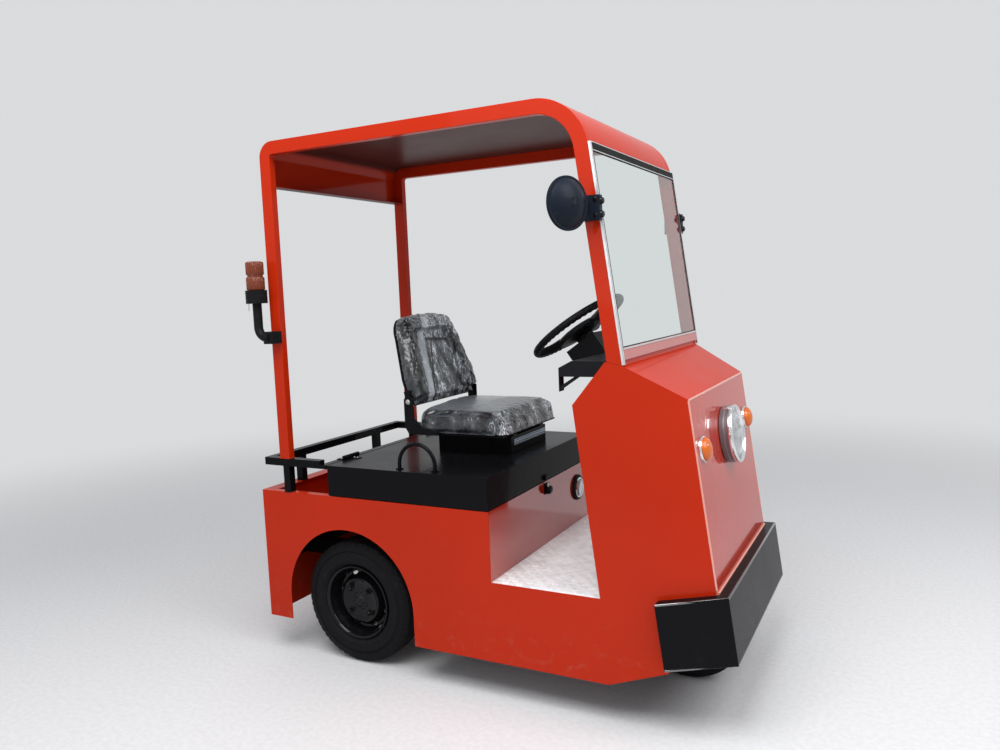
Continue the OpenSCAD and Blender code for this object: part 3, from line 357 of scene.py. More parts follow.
finishes["chequer"] = metal("tread_plate", (0.95, 0.95, 0.96), 0.34, 0.12, (0.15, 1.5, 1), share=0.35)
finishes["lamp_grey"] = metal("lamp_steel", (0.22, 0.23, 0.25), 0.30, 0.10, share=0.6)
finishes["lamp_chrome"] = metal("chrome", (0.80, 0.81, 0.83), 0.05, 0.05)
finishes["steel"] = metal("bare_steel", (0.56, 0.56, 0.57), 0.24, 0.16)
finishes["blued_steel"] = metal("blued_steel", (0.26, 0.30, 0.36), 0.22, 0.08)
finishes["bright_trim"] = metal("bright_trim", (0.74, 0.74, 0.76), 0.24, 0.08, share=0.85)
finishes["mirror_silver"] = metal("mirror_silver", (0.86, 0.88, 0.89), 0.01, 0.015, bump=0.0)
finishes["cast"] = sprayed("cast_grey", (0.060, 0.062, 0.066), 0.5, 0.05, (0.12, 0.10, 0.08, 1))
print(len(finishes), "finishes")

# %% [markdown]
# ### Rubber, plastic and vinyl
#
# Tyre rubber is matt black with brown dust in its low places. The seat's vinyl is under a clear wrapping:
# the film's folds catch the light as bright irregular streaks. These are painted highlights: a crease mask
# paints thin light streaks and a grey painted sheen into the colour over the black, with a lower roughness
# along the streaks.


# %% Rubber and plastics
def moulded(name, colour, roughness, grain, depth):
    """Moulded rubber or plastic with a fine grain and a little dust."""
    stuff = Finish(name, {"Specular IOR Level": 0.08})
    dust = stuff.here.grain(0.03, 6, 0.65).between(0.52, 0.80, 0, 0.30)
    stuff.feed("Base Color", dust.mix((*colour, 1), (0.030, 0.027, 0.024, 1)))
    stuff.feed("Roughness", stuff.here.grain(0.02, 4).between(0.3, 0.7, roughness, roughness + 0.12))
    stuff.bump(stuff.here.grain(grain, 3), depth)
    return stuff


finishes["tyre_black"] = moulded("tyre_rubber", (0.007, 0.007, 0.008), 0.64, 0.004, 0.0002)
finishes["wheel_rubber"] = moulded("wheel_rubber", (0.006, 0.006, 0.007), 0.42, 0.0015, 0.0001)
finishes["mirror_black"] = moulded("mirror_plastic", (0.008, 0.012, 0.020), 0.30, 0.002, 0.00006)
finishes["beacon_black"] = moulded("beacon_plastic", (0.007, 0.007, 0.008), 0.36, 0.002, 0.00008)
finishes["battery_grey"] = moulded("battery_case", (0.045, 0.046, 0.050), 0.46, 0.003, 0.0001)
finishes["seal_rubber"] = moulded("seal_rubber", (0.008, 0.008, 0.008), 0.50, 0.002, 0.0001)
print(len(finishes), "finishes")


# %% Wrapped vinyl
VINYL, SEAM_BLACK = (0.004, 0.004, 0.006, 1), (0.003, 0.004, 0.008, 1)
PAINTED_HAZE, PAINTED_STREAK = (0.42, 0.47, 0.52, 1), (0.80, 0.84, 0.90, 1)


def wrapped_vinyl():
    """Black vinyl under clear film with painted sheen and highlights: one attribute says how much painted
    sheen a point gets, one where seams are.
    """
    constants = {"Coat Weight": 0.6, "Coat Roughness": 0.09, "Specular IOR Level": 0.3}
    vinyl = Finish("wrapped_vinyl", constants)
    film, seam = vinyl.attribute("film"), vinyl.attribute("seam")
    flat = vinyl.normal.upright().between(0.80, 0.97)
    flow = vinyl.here.grain(0.034, 3, 0.5, (1, 1, 0.24))
    crease = abs(flow - 0.5).between(0.022, 0.002)
    sheen_patch = vinyl.here.grain(0.060, 3, 0.5, (1, 1, 0.45)).between(0.36, 0.66)
    ripple = vinyl.here.grain(0.018, 2, 0.5, (1, 1, 0.30))
    fine = abs(ripple - 0.5).between(0.030, 0.003)
    glint = vinyl.here.grain(0.008, 2, 0.5, (1, 1, 0.35)).between(0.57, 0.68)
    # The film's sheen is painted into the colour: a grey haze in patches on its sides, on faces that point
    # up, and strongest in the bright band.
    sheen_band = film.between(0.70, 1.0)
    haze_sheen = sheen_patch * film * (1 - flat) * 0.45 + flat * 0.22 + sheen_band * 0.75
    under = haze_sheen.mix(VINYL, PAINTED_HAZE)
    # Painted highlights: light streaks and glints along the film's creases, fewer on faces that point up.
    lines = crease + fine * 0.8 + glint * 0.6
    streak_highlight = lines * sheen_patch * film.between(0.05, 0.75) * (1 - flat * 0.92) * (1 - seam)
    tone = streak_highlight.between(0.05, 0.80).mix(under, PAINTED_STREAK)
    # At the seams the painted sheen and highlights are left out, so the vinyl's black shows.
    vinyl.feed("Base Color", (seam * 0.95).mix(tone, SEAM_BLACK))
    vinyl.feed("Roughness", streak_highlight.between(0.0, 1.0, 0.34, 0.16))
    vinyl.bump(flow * 1.6 + crease * 0.7 + vinyl.here.grain(0.014, 2) * 0.3, 0.0014)
    return vinyl


finishes["vinyl"] = wrapped_vinyl()
print("wrapped vinyl is ready")

# %% [markdown]
# ### Glass and lamp lenses
#
# The windscreen is clear laminated glass with a faint green cast. Lamp lenses are moulded: clear for the
# headlight, amber for the indicators and the beacon. Their ribs are made in the mesh.


# %% Glass
def clear(name, colour, roughness, weight):
    """Glass or clear plastic with faint smears in its roughness."""
    glass = Finish(name, {"Transmission Weight": weight, "IOR": 1.5, "Base Color": (*colour, 1)})
    glass.feed("Roughness", glass.here.grain(0.12, 4).between(0.4, 0.75, roughness, roughness + 0.03))
    return glass


finishes["screen"] = clear("windscreen_glass", (0.90, 0.975, 0.95), 0.004, 1.0)
finishes["lamp_glass"] = clear("lens_glass", (0.96, 0.98, 1.0), 0.03, 0.92)
finishes["amber"] = clear("amber_plastic", (0.80, 0.17, 0.006), 0.05, 0.45)
finishes["deep_amber"] = clear("deep_amber_plastic", (0.20, 0.032, 0.005), 0.04, 0.40)
for slot, finish in sorted(finishes.items()):
    print(slot, len(finish.tree.nodes), "nodes")

# %% [markdown]
# ## Finishes on the CAD pieces
#
# Every CAD node names a material slot in the record. A weld and a small bevel as modifiers give sheet
# and tube edges the narrow highlight of painted metal, and leave the CAD mesh itself as it is.

# %% Dress the CAD nodes
SOFT_EDGES = {
    "body_orange": 1.4,
    "black_paint": 1.4,
    "frame_salmon": 0.8,
    "chassis_black": 1.0,
    "dash_black": 0.8,
    "cast": 1.5,
}
OWN_FINISH = {"kick_panel": "kick_orange", "roof_sheet": "roof_orange", "front_panel": "nose_orange"}


def soften(thing, width):
    """Rounds a piece's sharp edges by width millimetres, with modifiers alone."""
    weld = thing.modifiers.new("weld", "WELD")
    weld.merge_threshold = 0.00001
    bevel = thing.modifiers.new("edges", "BEVEL")
    bevel.width = width * MM
    bevel.segments = 2
    bevel.limit_method = "ANGLE"
    bevel.angle_limit = math.radians(40)
    smooth = thing.modifiers.new("shading", "WEIGHTED_NORMAL")
    smooth.keep_sharp = False


for part in frame["record"]["subparts"]:
    node = frame["nodes"][part["node"]]
    node.data.materials.clear()
    finish = OWN_FINISH.get(part["node"], part["material_slot"])
    node.data.materials.append(finishes[finish].material)
    if part["material_slot"] in SOFT_EDGES:
        soften(node, SOFT_EDGES[part["material_slot"]])
print(len(frame["nodes"]), "CAD nodes dressed")

# %% [markdown]
# ## Building pieces
#
# The finer pieces are all put together from four moves: a flat outline given a thickness, a profile turned
# round an axis, a tube along a path, and rows of points joined into a grid. One small class collects
# points and faces, and one function turns them into a named piece with a finish and a body. Plain lists of
# points keep every size readable as a number of the drawing.


# %% Outlines
def rectangle(x0, y0, x1, y1):
    """The four corners of a flat rectangle."""
    return [(x0, y0), (x1, y0), (x1, y1), (x0, y1)]


def oval(across, up, corners):
    """The corners of a flat oval; six of them make a hexagon."""
    turns = np.linspace(0, 2 * math.pi, corners, endpoint=False)
    return [(across * math.cos(a), up * math.sin(a)) for a in turns]


# %% A shape that grows
class Shape:
    """Points and faces for one piece."""

    def __init__(self):
        self.points, self.faces = [], []

    def add(self, points, faces, place=plain):
        """Adds points given in a frame, and the faces between them."""
        start = len(self.points)
        self.points += [place @ Vector(p) for p in points]
        self.faces += [tuple(start + i for i in face) for face in faces]
        return self

    def grid(self, points, columns, place=plain, rows_meet=True, columns_meet=True, ends=()):
        """Joins rows of points by quads; rows or columns that meet go round in a ring."""
        rows = len(points) // columns
        faces = []
        for row in range(rows if rows_meet else rows - 1):
            here, after = row * columns, (row + 1) % rows * columns
            for column in range(columns if columns_meet else columns - 1):
                beside = (column + 1) % columns
                faces.append((here + column, after + column, after + beside, here + beside))
        return self.add(points, faces + list(ends), place)

    def slab(self, outline, low, high, place=plain, taper=0.0):
        """An outline in X and Y with a thickness along Z; taper draws its top in."""
        count = len(outline)
        middle = np.mean(outline, axis=0)
        upper = [tuple(middle + (np.array(p) - middle) * (1 - taper)) for p in outline]
        points = [(x, y, low) for x, y in outline] + [(x, y, high) for x, y in upper]
        sides = [(i, (i + 1) % count, count + (i + 1) % count, count + i) for i in range(count)]
        ends = [tuple(range(count))[::-1], tuple(range(count, 2 * count))]
        return self.add(points, ends + sides, place)

    def box(self, low, high, place=plain):
        """A block between its lowest and its highest corner."""
        return self.slab(rectangle(*low[:2], *high[:2]), low[2], high[2], place)

    def turned(self, profile, place=plain, steps=48, closed=False):
        """A profile of radius and height turned round Z; a closed one comes back to its start."""
        angles = [2 * math.pi * k / steps for k in range(steps)]
        points = [(r * math.cos(a), r * math.sin(a), z) for a in angles for r, z in profile]
        return self.grid(points, len(profile), place, True, closed)

    def tube(self, path, size, place=plain, steps=12, flat=1.0, closed=False):
        """A tube along a path; size is one radius or one for each point, flat squeezes its section."""
        path = [Vector(p) for p in path]
        sizes = size if hasattr(size, "__len__") else [size] * len(path)
        angles = [2 * math.pi * k / steps for k in range(steps)]
        side, rings = None, []
        for i, p in enumerate(path):
            before = path[i - 1] if i or closed else p
            after = path[(i + 1) % len(path)] if i + 1 < len(path) or closed else p
            along = (after - before).normalized()
            side = along.orthogonal() if side is None else side - along * side.dot(along)
            side.normalize()
            other = along.cross(side)
            rings += [p + sizes[i] * (side * math.cos(a) + other * math.sin(a) * flat) for a in angles]
        ends = [] if closed else [tuple(range(steps))[::-1], tuple(range(len(rings) - steps, len(rings)))]
        return self.grid(rings, steps, place, closed, True, ends)

    def bolt(self, place, size=8):
        """A hexagon head with a chamfered top, on a washer."""
        self.turned([(0, 0), (size, 0), (size, 1.0), (size * 0.9, 1.4), (0, 1.4)], place, 20)
        hexagon = oval(size * 0.62, size * 0.62, 6)
        self.slab(hexagon, 1.2, size * 0.55, place)
        return self.slab(hexagon, size * 0.55, size * 0.66, place, 0.12)

    def screw(self, place, size=4):
        """A round screw head with a sunk middle."""
        head = [(0, 0), (1, 0), (1, 0.25), (0.7, 0.55), (0.25, 0.62), (0, 0.3)]
        return self.turned([(r * size, z * size) for r, z in head], place, 16)


print("shape moves are ready")


# %% From a shape to a piece
def piece(shape, name, slot, body="chassis", finish=None, sharp=35, bevel=0.0, replaces=()):
    """Makes a named piece from a shape, with its finish and body; the slot picks the finish when no other
    is named.
    """
    mesh = bpy.data.meshes.new(name)
    mesh.from_pydata(shape.points, [], shape.faces)
    work = bmesh.new()
    work.from_mesh(mesh)
    bmesh.ops.remove_doubles(work, verts=work.verts, dist=0.000002)
    bmesh.ops.dissolve_degenerate(work, edges=work.edges, dist=0.000001)
    bmesh.ops.recalc_face_normals(work, faces=work.faces)
    work.to_mesh(mesh)
    work.free()
    thing = placed(name, mesh)
    mesh.materials.append(finishes[finish or slot].material)
    mesh.shade_smooth()
    mesh.set_sharp_from_angle(angle=math.radians(sharp))
    if bevel:
        soften(thing, bevel)
    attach(thing, body)
    if replaces:
        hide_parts(*replaces)
    print(name, len(mesh.polygons), "faces on", body)
    return thing


def apply_modifiers(thing):
    """Turns what a piece's modifiers show into its mesh."""
    bpy.context.view_layer.update()
    shown = thing.evaluated_get(bpy.context.evaluated_depsgraph_get())
    thing.data = bpy.data.meshes.new_from_object(shown)
    thing.modifiers.clear()


print("pieces can be made")

# %% [markdown]
# ## Tread plate
#
# The footwell's floor is five-bar tread plate: groups of five short pointed bars, pressed into the
# sheet, and turned a quarter from one group to the next. A double loop sets out the groups.

# %% Bars of the tread plate
FLOOR_FRONT, FLOOR_TOP = 1419, 416
BARS = [(-11, 8), (-5.5, 11), (0, 12.5), (5.5, 11), (11, 8)]
BAR_HALF, BAR_RISE, POINT = 1.4, 1.7, 3
PITCH, MARGIN = 27, 20
FIRST_X, FIRST_Y = KICK_X + 17, 21 - HALF
tread = Shape()
rows = int((FLOOR_FRONT - KICK_X - MARGIN) / PITCH)
columns = int((2 * HALF - 2 * MARGIN) / PITCH)
for row in range(rows + 1):
    for column in range(columns + 1):
        middle = leaning(FIRST_X + row * PITCH, FIRST_Y + column * PITCH, FLOOR_TOP, 0)
        group = around(middle, 45 if (row + column) % 2 else -45)
        for across, reach in BARS:
            bar = [(-reach, 0), (POINT - reach, -BAR_HALF), (reach - POINT, -BAR_HALF)]
            bar += [(-x, -y) for x, y in bar]
            tread.slab([(x, y + across) for x, y in bar], 0, BAR_RISE, group, 0.12)
piece(tread, "tread_bars", "chequer", sharp=60)

# %% [markdown]
# ## Tyres
#
# All three tyres are road tyres. Their section is turned round the axle with many steps, and the tread is
# cut by moving the outer points inwards: two straight grooves, two zigzag grooves and cross cuts at
# the shoulders. Rings on the sidewall are raised by less than a millimetre.


# %% Tyres with a road tread
SIDEWALL = [
    (0.0, 0.62), (0.03, 0.80), (0.12, 0.92), (0.30, 0.985), (0.48, 1.0),
    (0.62, 0.985), (0.74, 0.94), (0.84, 0.86), (0.91, 0.79),
]
RINGS, RIBS = (0.20, 0.22, 0.24, 0.56, 0.58, 0.60), (0.22, 0.58)
CROWN, SHOULDER = 0.76, 0.70
ZIGZAGS, CUTS = 36, 54


def tyre_shape(place, radius, width, bead, steps):
    """A tyre round the Z axis of a frame, with its tread cut into the outer points.

    Its sidewall is given as shares of the wall's height and of half the width."""
    half, wall = width / 2, radius - bead
    profile = [(bead + wall * a, half * b) for a, b in SIDEWALL]
    for a in RINGS:
        bulge = 0.93 + 0.055 * math.sin(math.pi * min(1, a / 0.5))
        profile.append((bead + wall * a, half * bulge))
    profile.sort()
    far_side = [(r, -z) for r, z in reversed(profile)]
    for c in np.linspace(CROWN, -CROWN, 62):
        drop = 0.035 * wall * abs(c / CROWN) ** 2.5 + 1.2 * (abs(c) > SHOULDER)
        profile.append((radius - drop, half * c))
    profile += far_side
    r, z = (np.array(v)[None, :].repeat(steps, 0) for v in zip(*profile))
    turn = (np.arange(steps) * 2 * math.pi / steps)[:, None]
    out = np.abs(z)
    zigzag = 0.035 * width * np.abs(((turn * ZIGZAGS / math.pi) % 2) - 1)
    straight = np.abs(out - 0.10 * width)
    wavy = np.abs(out - 0.25 * width - zigzag + 0.017 * width)
    groove = np.clip(1.6 - straight / 2.2, 0, 1) + np.clip(1.7 - wavy / 2.2, 0, 1)
    cuts = np.abs(((turn * CUTS / (2 * math.pi) + out / width * 1.2) % 1) - 0.5) < 0.11
    groove = np.clip(groove + 0.6 * cuts * (out > 0.34 * width), 0, 1)
    outer = r > bead + 0.90 * wall
    ribs = sum(np.exp(-(((r - bead) / wall - a) ** 2) / 0.00012) for a in RIBS)
    z = z + np.sign(z) * ribs * 0.9 * (~outer)
    r = r - np.where(outer, groove * 0.065 * wall, 0)
    points = np.stack([r * np.cos(turn), r * np.sin(turn), z], -1).reshape(-1, 3)
    return Shape().grid(points.tolist(), len(profile), place)


for name, hub in rear_hubs.items():
    shape = tyre_shape(hub, **REAR_TYRE, steps=300)
    wheel, tyre = f"rear_wheel_{name}", f"rear_tyre_{name}"
    piece(shape, f"road_tyre_{name}", "tyre_black", wheel, sharp=28, replaces=[tyre])
shape = tyre_shape(front_hub, **FRONT_TYRE, steps=260)
piece(shape, "road_tyre_front", "tyre_black", "front_wheel", sharp=28, replaces=["front_tyre"])

# %% [markdown]
# ## Pressed steel rims
#
# A rim is a pressed dish in a rolled band: a lip that holds the tyre, a well, and a disc with slots
# and four nuts. The slots are cut with a boolean, which leaves clean walls, and the nuts are built
# from hexagons with chamfered tops.


# %% Cutting one shape out of another
def cut(thing, cutter_shape):
    """Cuts a shape out of a piece and removes the cutter."""
    cutter_mesh = bpy.data.meshes.new("cutter")
    cutter_mesh.from_pydata(cutter_shape.points, [], cutter_shape.faces)
    cutter = placed("cutter", cutter_mesh)
    boolean = thing.modifiers.new("slots", "BOOLEAN")
    boolean.operation, boolean.solver, boolean.object = "DIFFERENCE", "EXACT", cutter
    apply_modifiers(thing)
    thing.data.set_sharp_from_angle(angle=math.radians(35))
    bpy.data.objects.remove(cutter)
    print(thing.name, "cut, now", len(thing.data.polygons), "faces")


# %% Rear rims
REAR_RIM = [
    (143, 54), (144, 59), (142, 62.5), (138, 63), (134, 60), (131, 53), (129, 40), (124, 34),
    (121, 20), (114, 9), (106, 8), (98, 14), (93, 28), (87, 39), (79, 42.5), (72, 39), (36, 38),
    (32, 41), (24, 41), (24, 37), (22, 30), (66, 32), (76, 36), (82, 34), (87, 24), (92, 9),
    (104, 2), (114, 3), (118, -4), (118, -40), (131, -50), (134, -58), (143, -58), (143, -52),
    (136, -46), (124, -34), (124, 6), (128, 28), (134, 36), (138, 52),
]
for name, hub in rear_hubs.items():
    shape = Shape().turned(REAR_RIM, hub, 96, True)
    rim = piece(shape, f"rim_{name}", "disc_black", f"rear_wheel_{name}", replaces=[f"rear_disc_{name}"])
    slots = Shape()
    for k in range(8):
        slots.slab(oval(7, 15, 28), -5, 30, around(hub, 45 * k + 22.5, (105, 0, 0)))
    cut(rim, slots)

# %% Front rim
FRONT_RIM = [
    (116, 38), (116.5, 43), (114, 46), (110, 45), (106, 40), (100, 28), (96, 12), (88, 6), (60, 4),
    (34, 6), (32, 20), (30, 22), (12, 22), (12, -22), (30, -22), (32, -20), (34, -6), (60, -4),
    (88, -5), (96, -11), (100, -28), (106, -40), (110, -45), (114, -46), (116.5, -43), (116, -38),
    (110, -30), (104, 0), (110, 30),
]
shape = Shape().turned(FRONT_RIM, front_hub, 96, True)
front_rim = piece(shape, "rim_front", "disc_black", "front_wheel", replaces=["front_disc"])
slots = Shape()
for k in range(6):
    slots.slab(oval(9, 14, 24), -30, 30, around(front_hub, 60 * k, (72, 0, 0)))
cut(front_rim, slots)

# %% [markdown]
# The nuts, the grease cap over the axle's end and the valve are small turned and hexagonal forms. They
# are one piece for each wheel.

# %% Wheel nuts, caps and valves
HUB_FACE, NUT_CIRCLE = 39, 60
NUT_SEAT = [(0, 0), (14, 0), (13, 5), (10, 6)]
STUD_END = [(0, 16), (5, 16), (5, 22), (4, 23.5), (0, 23.5)]
GREASE_CAP = [(0, 52), (8, 51.5), (16, 49), (19.5, 46), (20, 38), (23, 38), (23, 42), (26, 40)]
for name, hub in rear_hubs.items():
    nuts = Shape()
    for turn in DIAGONALS:
        seat = around(hub, turn, (NUT_CIRCLE, 0, HUB_FACE - 3))
        nuts.turned(NUT_SEAT, seat, 24)
        nuts.slab(oval(10, 10, 6), 4, 15, seat).slab(oval(10, 10, 6), 15, 17, seat, 0.14)
        nuts.turned(STUD_END, seat, 16)
    nuts.turned(GREASE_CAP, hub, 40)
    valve = around(hub, 112, (122, 0, 30))
    nuts.tube([(0, 0, 0), (-3, 0, 10), (-7, 0, 20)], 3.4, valve)
    nuts.tube([(-7, 0, 20), (-9, 0, 26)], 4.2, valve)
    piece(nuts, f"wheel_nuts_{name}", "steel", f"rear_wheel_{name}", finish="disc_black", sharp=30)

# %% [markdown]
# ## Steering wheel
#
# The wheel is moulded rubber over steel: a round rim with finger grips under it, three flat spokes that
# rise from the centre pad to the rim, and a domed pad. The spokes are tubes with a flattened section.

# %% Steering wheel
COLUMN_TOP, SLOPE = (1148, 100, 1262), 55.5
RIM, GRIP, SPOKE_TURN = 188, 15, 90
FINGERS, STEPS, RING = 48, 288, 18
SPOKE = [(88, 0, -20), (110, 0, -20), (135, 0, -18), (158, 0, -14), (174, 0, -8), (186, 0, -2)]
PAD = [
    (0, -4), (50, -4.6), (82, -7), (97, -11), (104, -18), (104.5, -26), (98, -33), (66, -36), (37, -44),
    (34, -60), (0, -60),
]
steering = leaning(*COLUMN_TOP, 90 - SLOPE)
wheel = Shape()
points = []
for k in range(STEPS):
    turn = 2 * math.pi * k / STEPS
    for i in range(RING):
        a = 2 * math.pi * i / RING
        under = max(0.0, -math.sin(a)) * (0.5 + 0.5 * math.cos(turn * FINGERS))
        size = GRIP - 1.0 - 2.2 * under
        out = RIM + size * math.cos(a)
        points.append((out * math.cos(turn), out * math.sin(turn), size * math.sin(a)))
wheel.grid(points, RING, steering)
for k in range(3):
    wheel.tube(SPOKE, [20, 19, 18, 17.5, 17, 15], around(steering, SPOKE_TURN + 120 * k), 20, 0.34)
wheel.turned(PAD, steering, 64)
wheel.turned([(0, -2.5), (24, -3), (29, -4.5), (30, -6)], steering, 40)
piece(wheel, "wheel_with_grips", "wheel_rubber", "steering_wheel", sharp=40, replaces=["steering_wheel"])

# %% [markdown]
# ## Headlight
#
# The headlight is a grey steel drum with a bright rolled bezel, a bright reflector inside and a thick
# pressed lens. One profile is turned in two parts, because drum and bezel have finishes of their own.
# The lens has upright flutes with a few cross bars, as such lenses have to spread the beam. They are
# raised on a grid of rings, because flutes in the mesh refract as real ones do, and a bump doesn't.

# %% Headlight drum, bezel and reflector
LAMP_DROP = 175
DRUM = [(0, 0.5), (93, 0.5), (96, 2), (97, 5), (97, 27), (97.6, 29), (99.4, 30)]
BEZEL = [
    (99.4, 30), (100, 32), (100, 41), (98.5, 44.5), (95, 46.5), (90, 46), (87.5, 42), (86, 38),
    (84, 32), (74, 22), (56, 14), (36, 9), (14, 7), (0, 7),
]
lamp = on_nose(0, LAMP_DROP)
bright, drum = Shape().turned(BEZEL, lamp, 96), Shape().turned(DRUM, lamp, 96)
drum.turned([(97.2, 14), (98.6, 15), (98.6, 19), (97.2, 20)], lamp, 96)
clip = around(lamp, 200)
bright.box((96, -9, 12), (101.5, 9, 47), clip).box((91, -9, 46), (101.5, 9, 48.5), clip)
bright.turned([(0, 24), (6, 24), (9, 19), (9, 7)], lamp, 24)
piece(bright, "headlight_reflector", "lamp_chrome", sharp=38, bevel=0.5, replaces=["headlight_shell"])
piece(drum, "headlight_drum", "lamp_chrome", finish="lamp_grey", sharp=38)


# %% Headlight lens
def fluted_lens(place, radius, base, rise, flute, depth, rings=44, steps=144):
    """A solid lens with a domed front that carries upright flutes."""
    points = []
    for i in range(rings + 1):
        r = radius * i / rings
        dome = base + rise * (1 - (i / rings) ** 2)
        inner = min(1.0, (radius - r) / 6)
        for k in range(steps):
            a = 2 * math.pi * k / steps
            x, y = r * math.cos(a), r * math.sin(a)
            flutes = abs(math.sin(math.pi * y / flute)) * depth * inner
            bars = depth * inner * (0.9 if abs((x / 28) % 1 - 0.5) < 0.05 else 0)
            points.append((x, y, dome + flutes + bars))
    shape = Shape().grid(points, steps, place, False)
    return shape.turned([(radius, base), (radius, base - 3), (0, base + rise - 5)], place, steps)


lens = fluted_lens(lamp, radius=86.5, base=36, rise=12, flute=11, depth=1.8)
piece(lens, "fluted_lens", "lamp_glass", sharp=60, replaces=["headlight_lens"])

# %% [markdown]
# ## Indicators
#
# Each indicator is an amber dome with ring-shaped ribs, on a bright metal base with two small screws.
# The dome's profile follows an arc with small waves on it, and is turned round its axis.

# %% Indicators
INDICATOR_Y, INDICATOR_DROP, DOME = 325, 166, 38
BASE = [(0, 0.5), (42, 0.5), (42, 6), (41, 8.5), (38.5, 9.5), (37.5, 8)]
dome = [(0, 7), (DOME, 7)]
for r in np.linspace(DOME, 0, 64):
    rise = 9 + 21 * math.sqrt(max(0.0, 1 - (r / (DOME + 0.6)) ** 2))
    dome.append((r, rise + 0.6 * abs(math.sin(math.pi * r / 5))))
amber, bases, small_screws = Shape(), Shape(), Shape()
for y in (-INDICATOR_Y, INDICATOR_Y):
    seat = on_nose(y, INDICATOR_DROP)
    bases.turned(BASE, seat, 64)
    bases.turned([(0, 11), (10, 10), (12, 7), (12, 3)], seat, 32)
    amber.turned(dome, seat, 72)
    for turn in (50, 230):
        small_screws.screw(around(seat, turn, (24, 0, 24.5)), 3.2)
piece(amber, "indicator_domes", "amber", sharp=60, replaces=["indicators"])
piece(bases, "indicator_bases", "lamp_chrome", sharp=35)
piece(small_screws, "indicator_screws", "lamp_chrome", finish="steel", sharp=30)

# %% [markdown]
# ## Beacon
#
# The beacon has two tiers of amber plastic with upright ribs, one above the other, over a black foot. A
# thin ball chain hangs beside it from the foot.

# %% Beacon
BEACON = (84, -495, 1450)


def ribbed_tier(shape, radius, low, high, ribs=30, steps=240):
    """A closed drum with upright ribs and rounded edges, on the beacon's foot."""
    profile = [(0, low), (radius - 6, low), (radius - 1.5, low + 1), (radius, low + 4)]
    profile += [(radius, high - 6), (radius - 2.5, high - 2), (radius - 7, high), (0, high + 1)]
    points = []
    for r, z in profile:
        for k in range(steps):
            a = 2 * math.pi * k / steps
            out = r + 0.9 * math.cos(a * ribs) * (r > radius - 3)
            points.append((out * math.cos(a), out * math.sin(a), z))
    return shape.grid(points, steps, foot, False)


foot = facing(*BEACON, (0, 0, 1))
tiers = Shape()
ribbed_tier(tiers, 33.2, 0.2, 51)
tiers.turned([(0, 49), (29, 49), (29, 59), (0, 59)], foot, 48)
ribbed_tier(tiers, 32.4, 57, 108)
piece(tiers, "beacon_tiers", "amber", finish="deep_amber", sharp=45, replaces=["beacon_lens"])

# %% Beacon's foot and ball chain
rings = Shape()
for z in (-47, -30, -13, -4):
    rings.turned([(39.5, z), (40.8, z + 0.5), (40.8, z + 2.5), (39.5, z + 3)], foot, 64)
for turn in (20, 140, 260):
    rings.screw(around(foot, turn, (36.5, 0, 0)), 2)
piece(rings, "beacon_foot_rings", "beacon_black", sharp=35)
BEADS, BEAD = 16, [(0, -1.9), (1.5, -1.3), (1.9, 0), (1.5, 1.3), (0, 1.9)]
chain = Shape()
hung = []
for k in range(BEADS):
    share = k / (BEADS - 1)
    place = foot @ Matrix.Translation((42 + 3 * math.sin(2.2 * share), -6 + 5 * share, -14 - 62 * share))
    hung.append(place.translation / MM)
    chain.turned(BEAD, place, 10)
for pair in zip(hung, hung[1:]):
    chain.tube(pair, 0.5, Matrix.Scale(MM, 4), 5)
piece(chain, "beacon_chain", "steel", sharp=60)

# %% [markdown]
# ## Mirrors
#
# Two round mirrors face the driver. The CAD gives the domed backs, arms and clamps. Here come the glass
# with its rim, the four screws on the dome and the bolts of the clamps.

# %% Mirror glass, rims and screws
MIRROR_X, MIRROR_Y, MIRROR_Z, MIRROR_TURN = 1392, 560, 1658, math.radians(23)
GLASS = [(0, -2.2), (40, -1.9), (74, -1.0), (75, 0.5), (0, 0.5)]
GLASS_RIM = [(75.5, 0.5), (75.5, -1.6), (77, -2.6), (79.5, -2.2), (80.4, 0.5), (80.4, 6)]
CLAMP_BOLTS = ((1402, 1624), (1448, 1624), (1402, 1672), (1448, 1672))
glass, rims, screws, bolts = Shape(), Shape(), Shape(), Shape()
for side in (-1, 1):
    away = (math.cos(MIRROR_TURN), side * math.sin(MIRROR_TURN), 0)
    back = facing(MIRROR_X, side * MIRROR_Y, MIRROR_Z, away)
    glass.turned(GLASS, back, 80)
    rims.turned(GLASS_RIM, back, 80)
    for turn in DIAGONALS:
        screws.screw(around(back, turn, (15, 0, 38.2)), 4)
    for x, z in CLAMP_BOLTS:
        bolts.bolt(facing(x, side * 472, z, (0, side, 0)), 8)
    for z in (1628, 1668):
        nut = facing(1462.5, side * 461, z, (1, 0, 0))
        bolts.turned([(0, 0), (11, 0), (11, 4), (8, 9), (0, 9)], nut, 20)
piece(glass, "mirror_glass", "mirror_black", finish="mirror_silver")
piece(rims, "mirror_rims", "mirror_black")
piece(screws, "mirror_screws", "mirror_black", finish="disc_black")
piece(bolts, "mirror_clamp_bolts", "mirror_black", finish="disc_black")

# %% [markdown]
# ## Windscreen trim
#
# The glass sits in a rubber gasket. A dark rubber strip covers the top rail between two bright lines,
# and bright strips run along the lower rail and down both outer edges to the cowl.

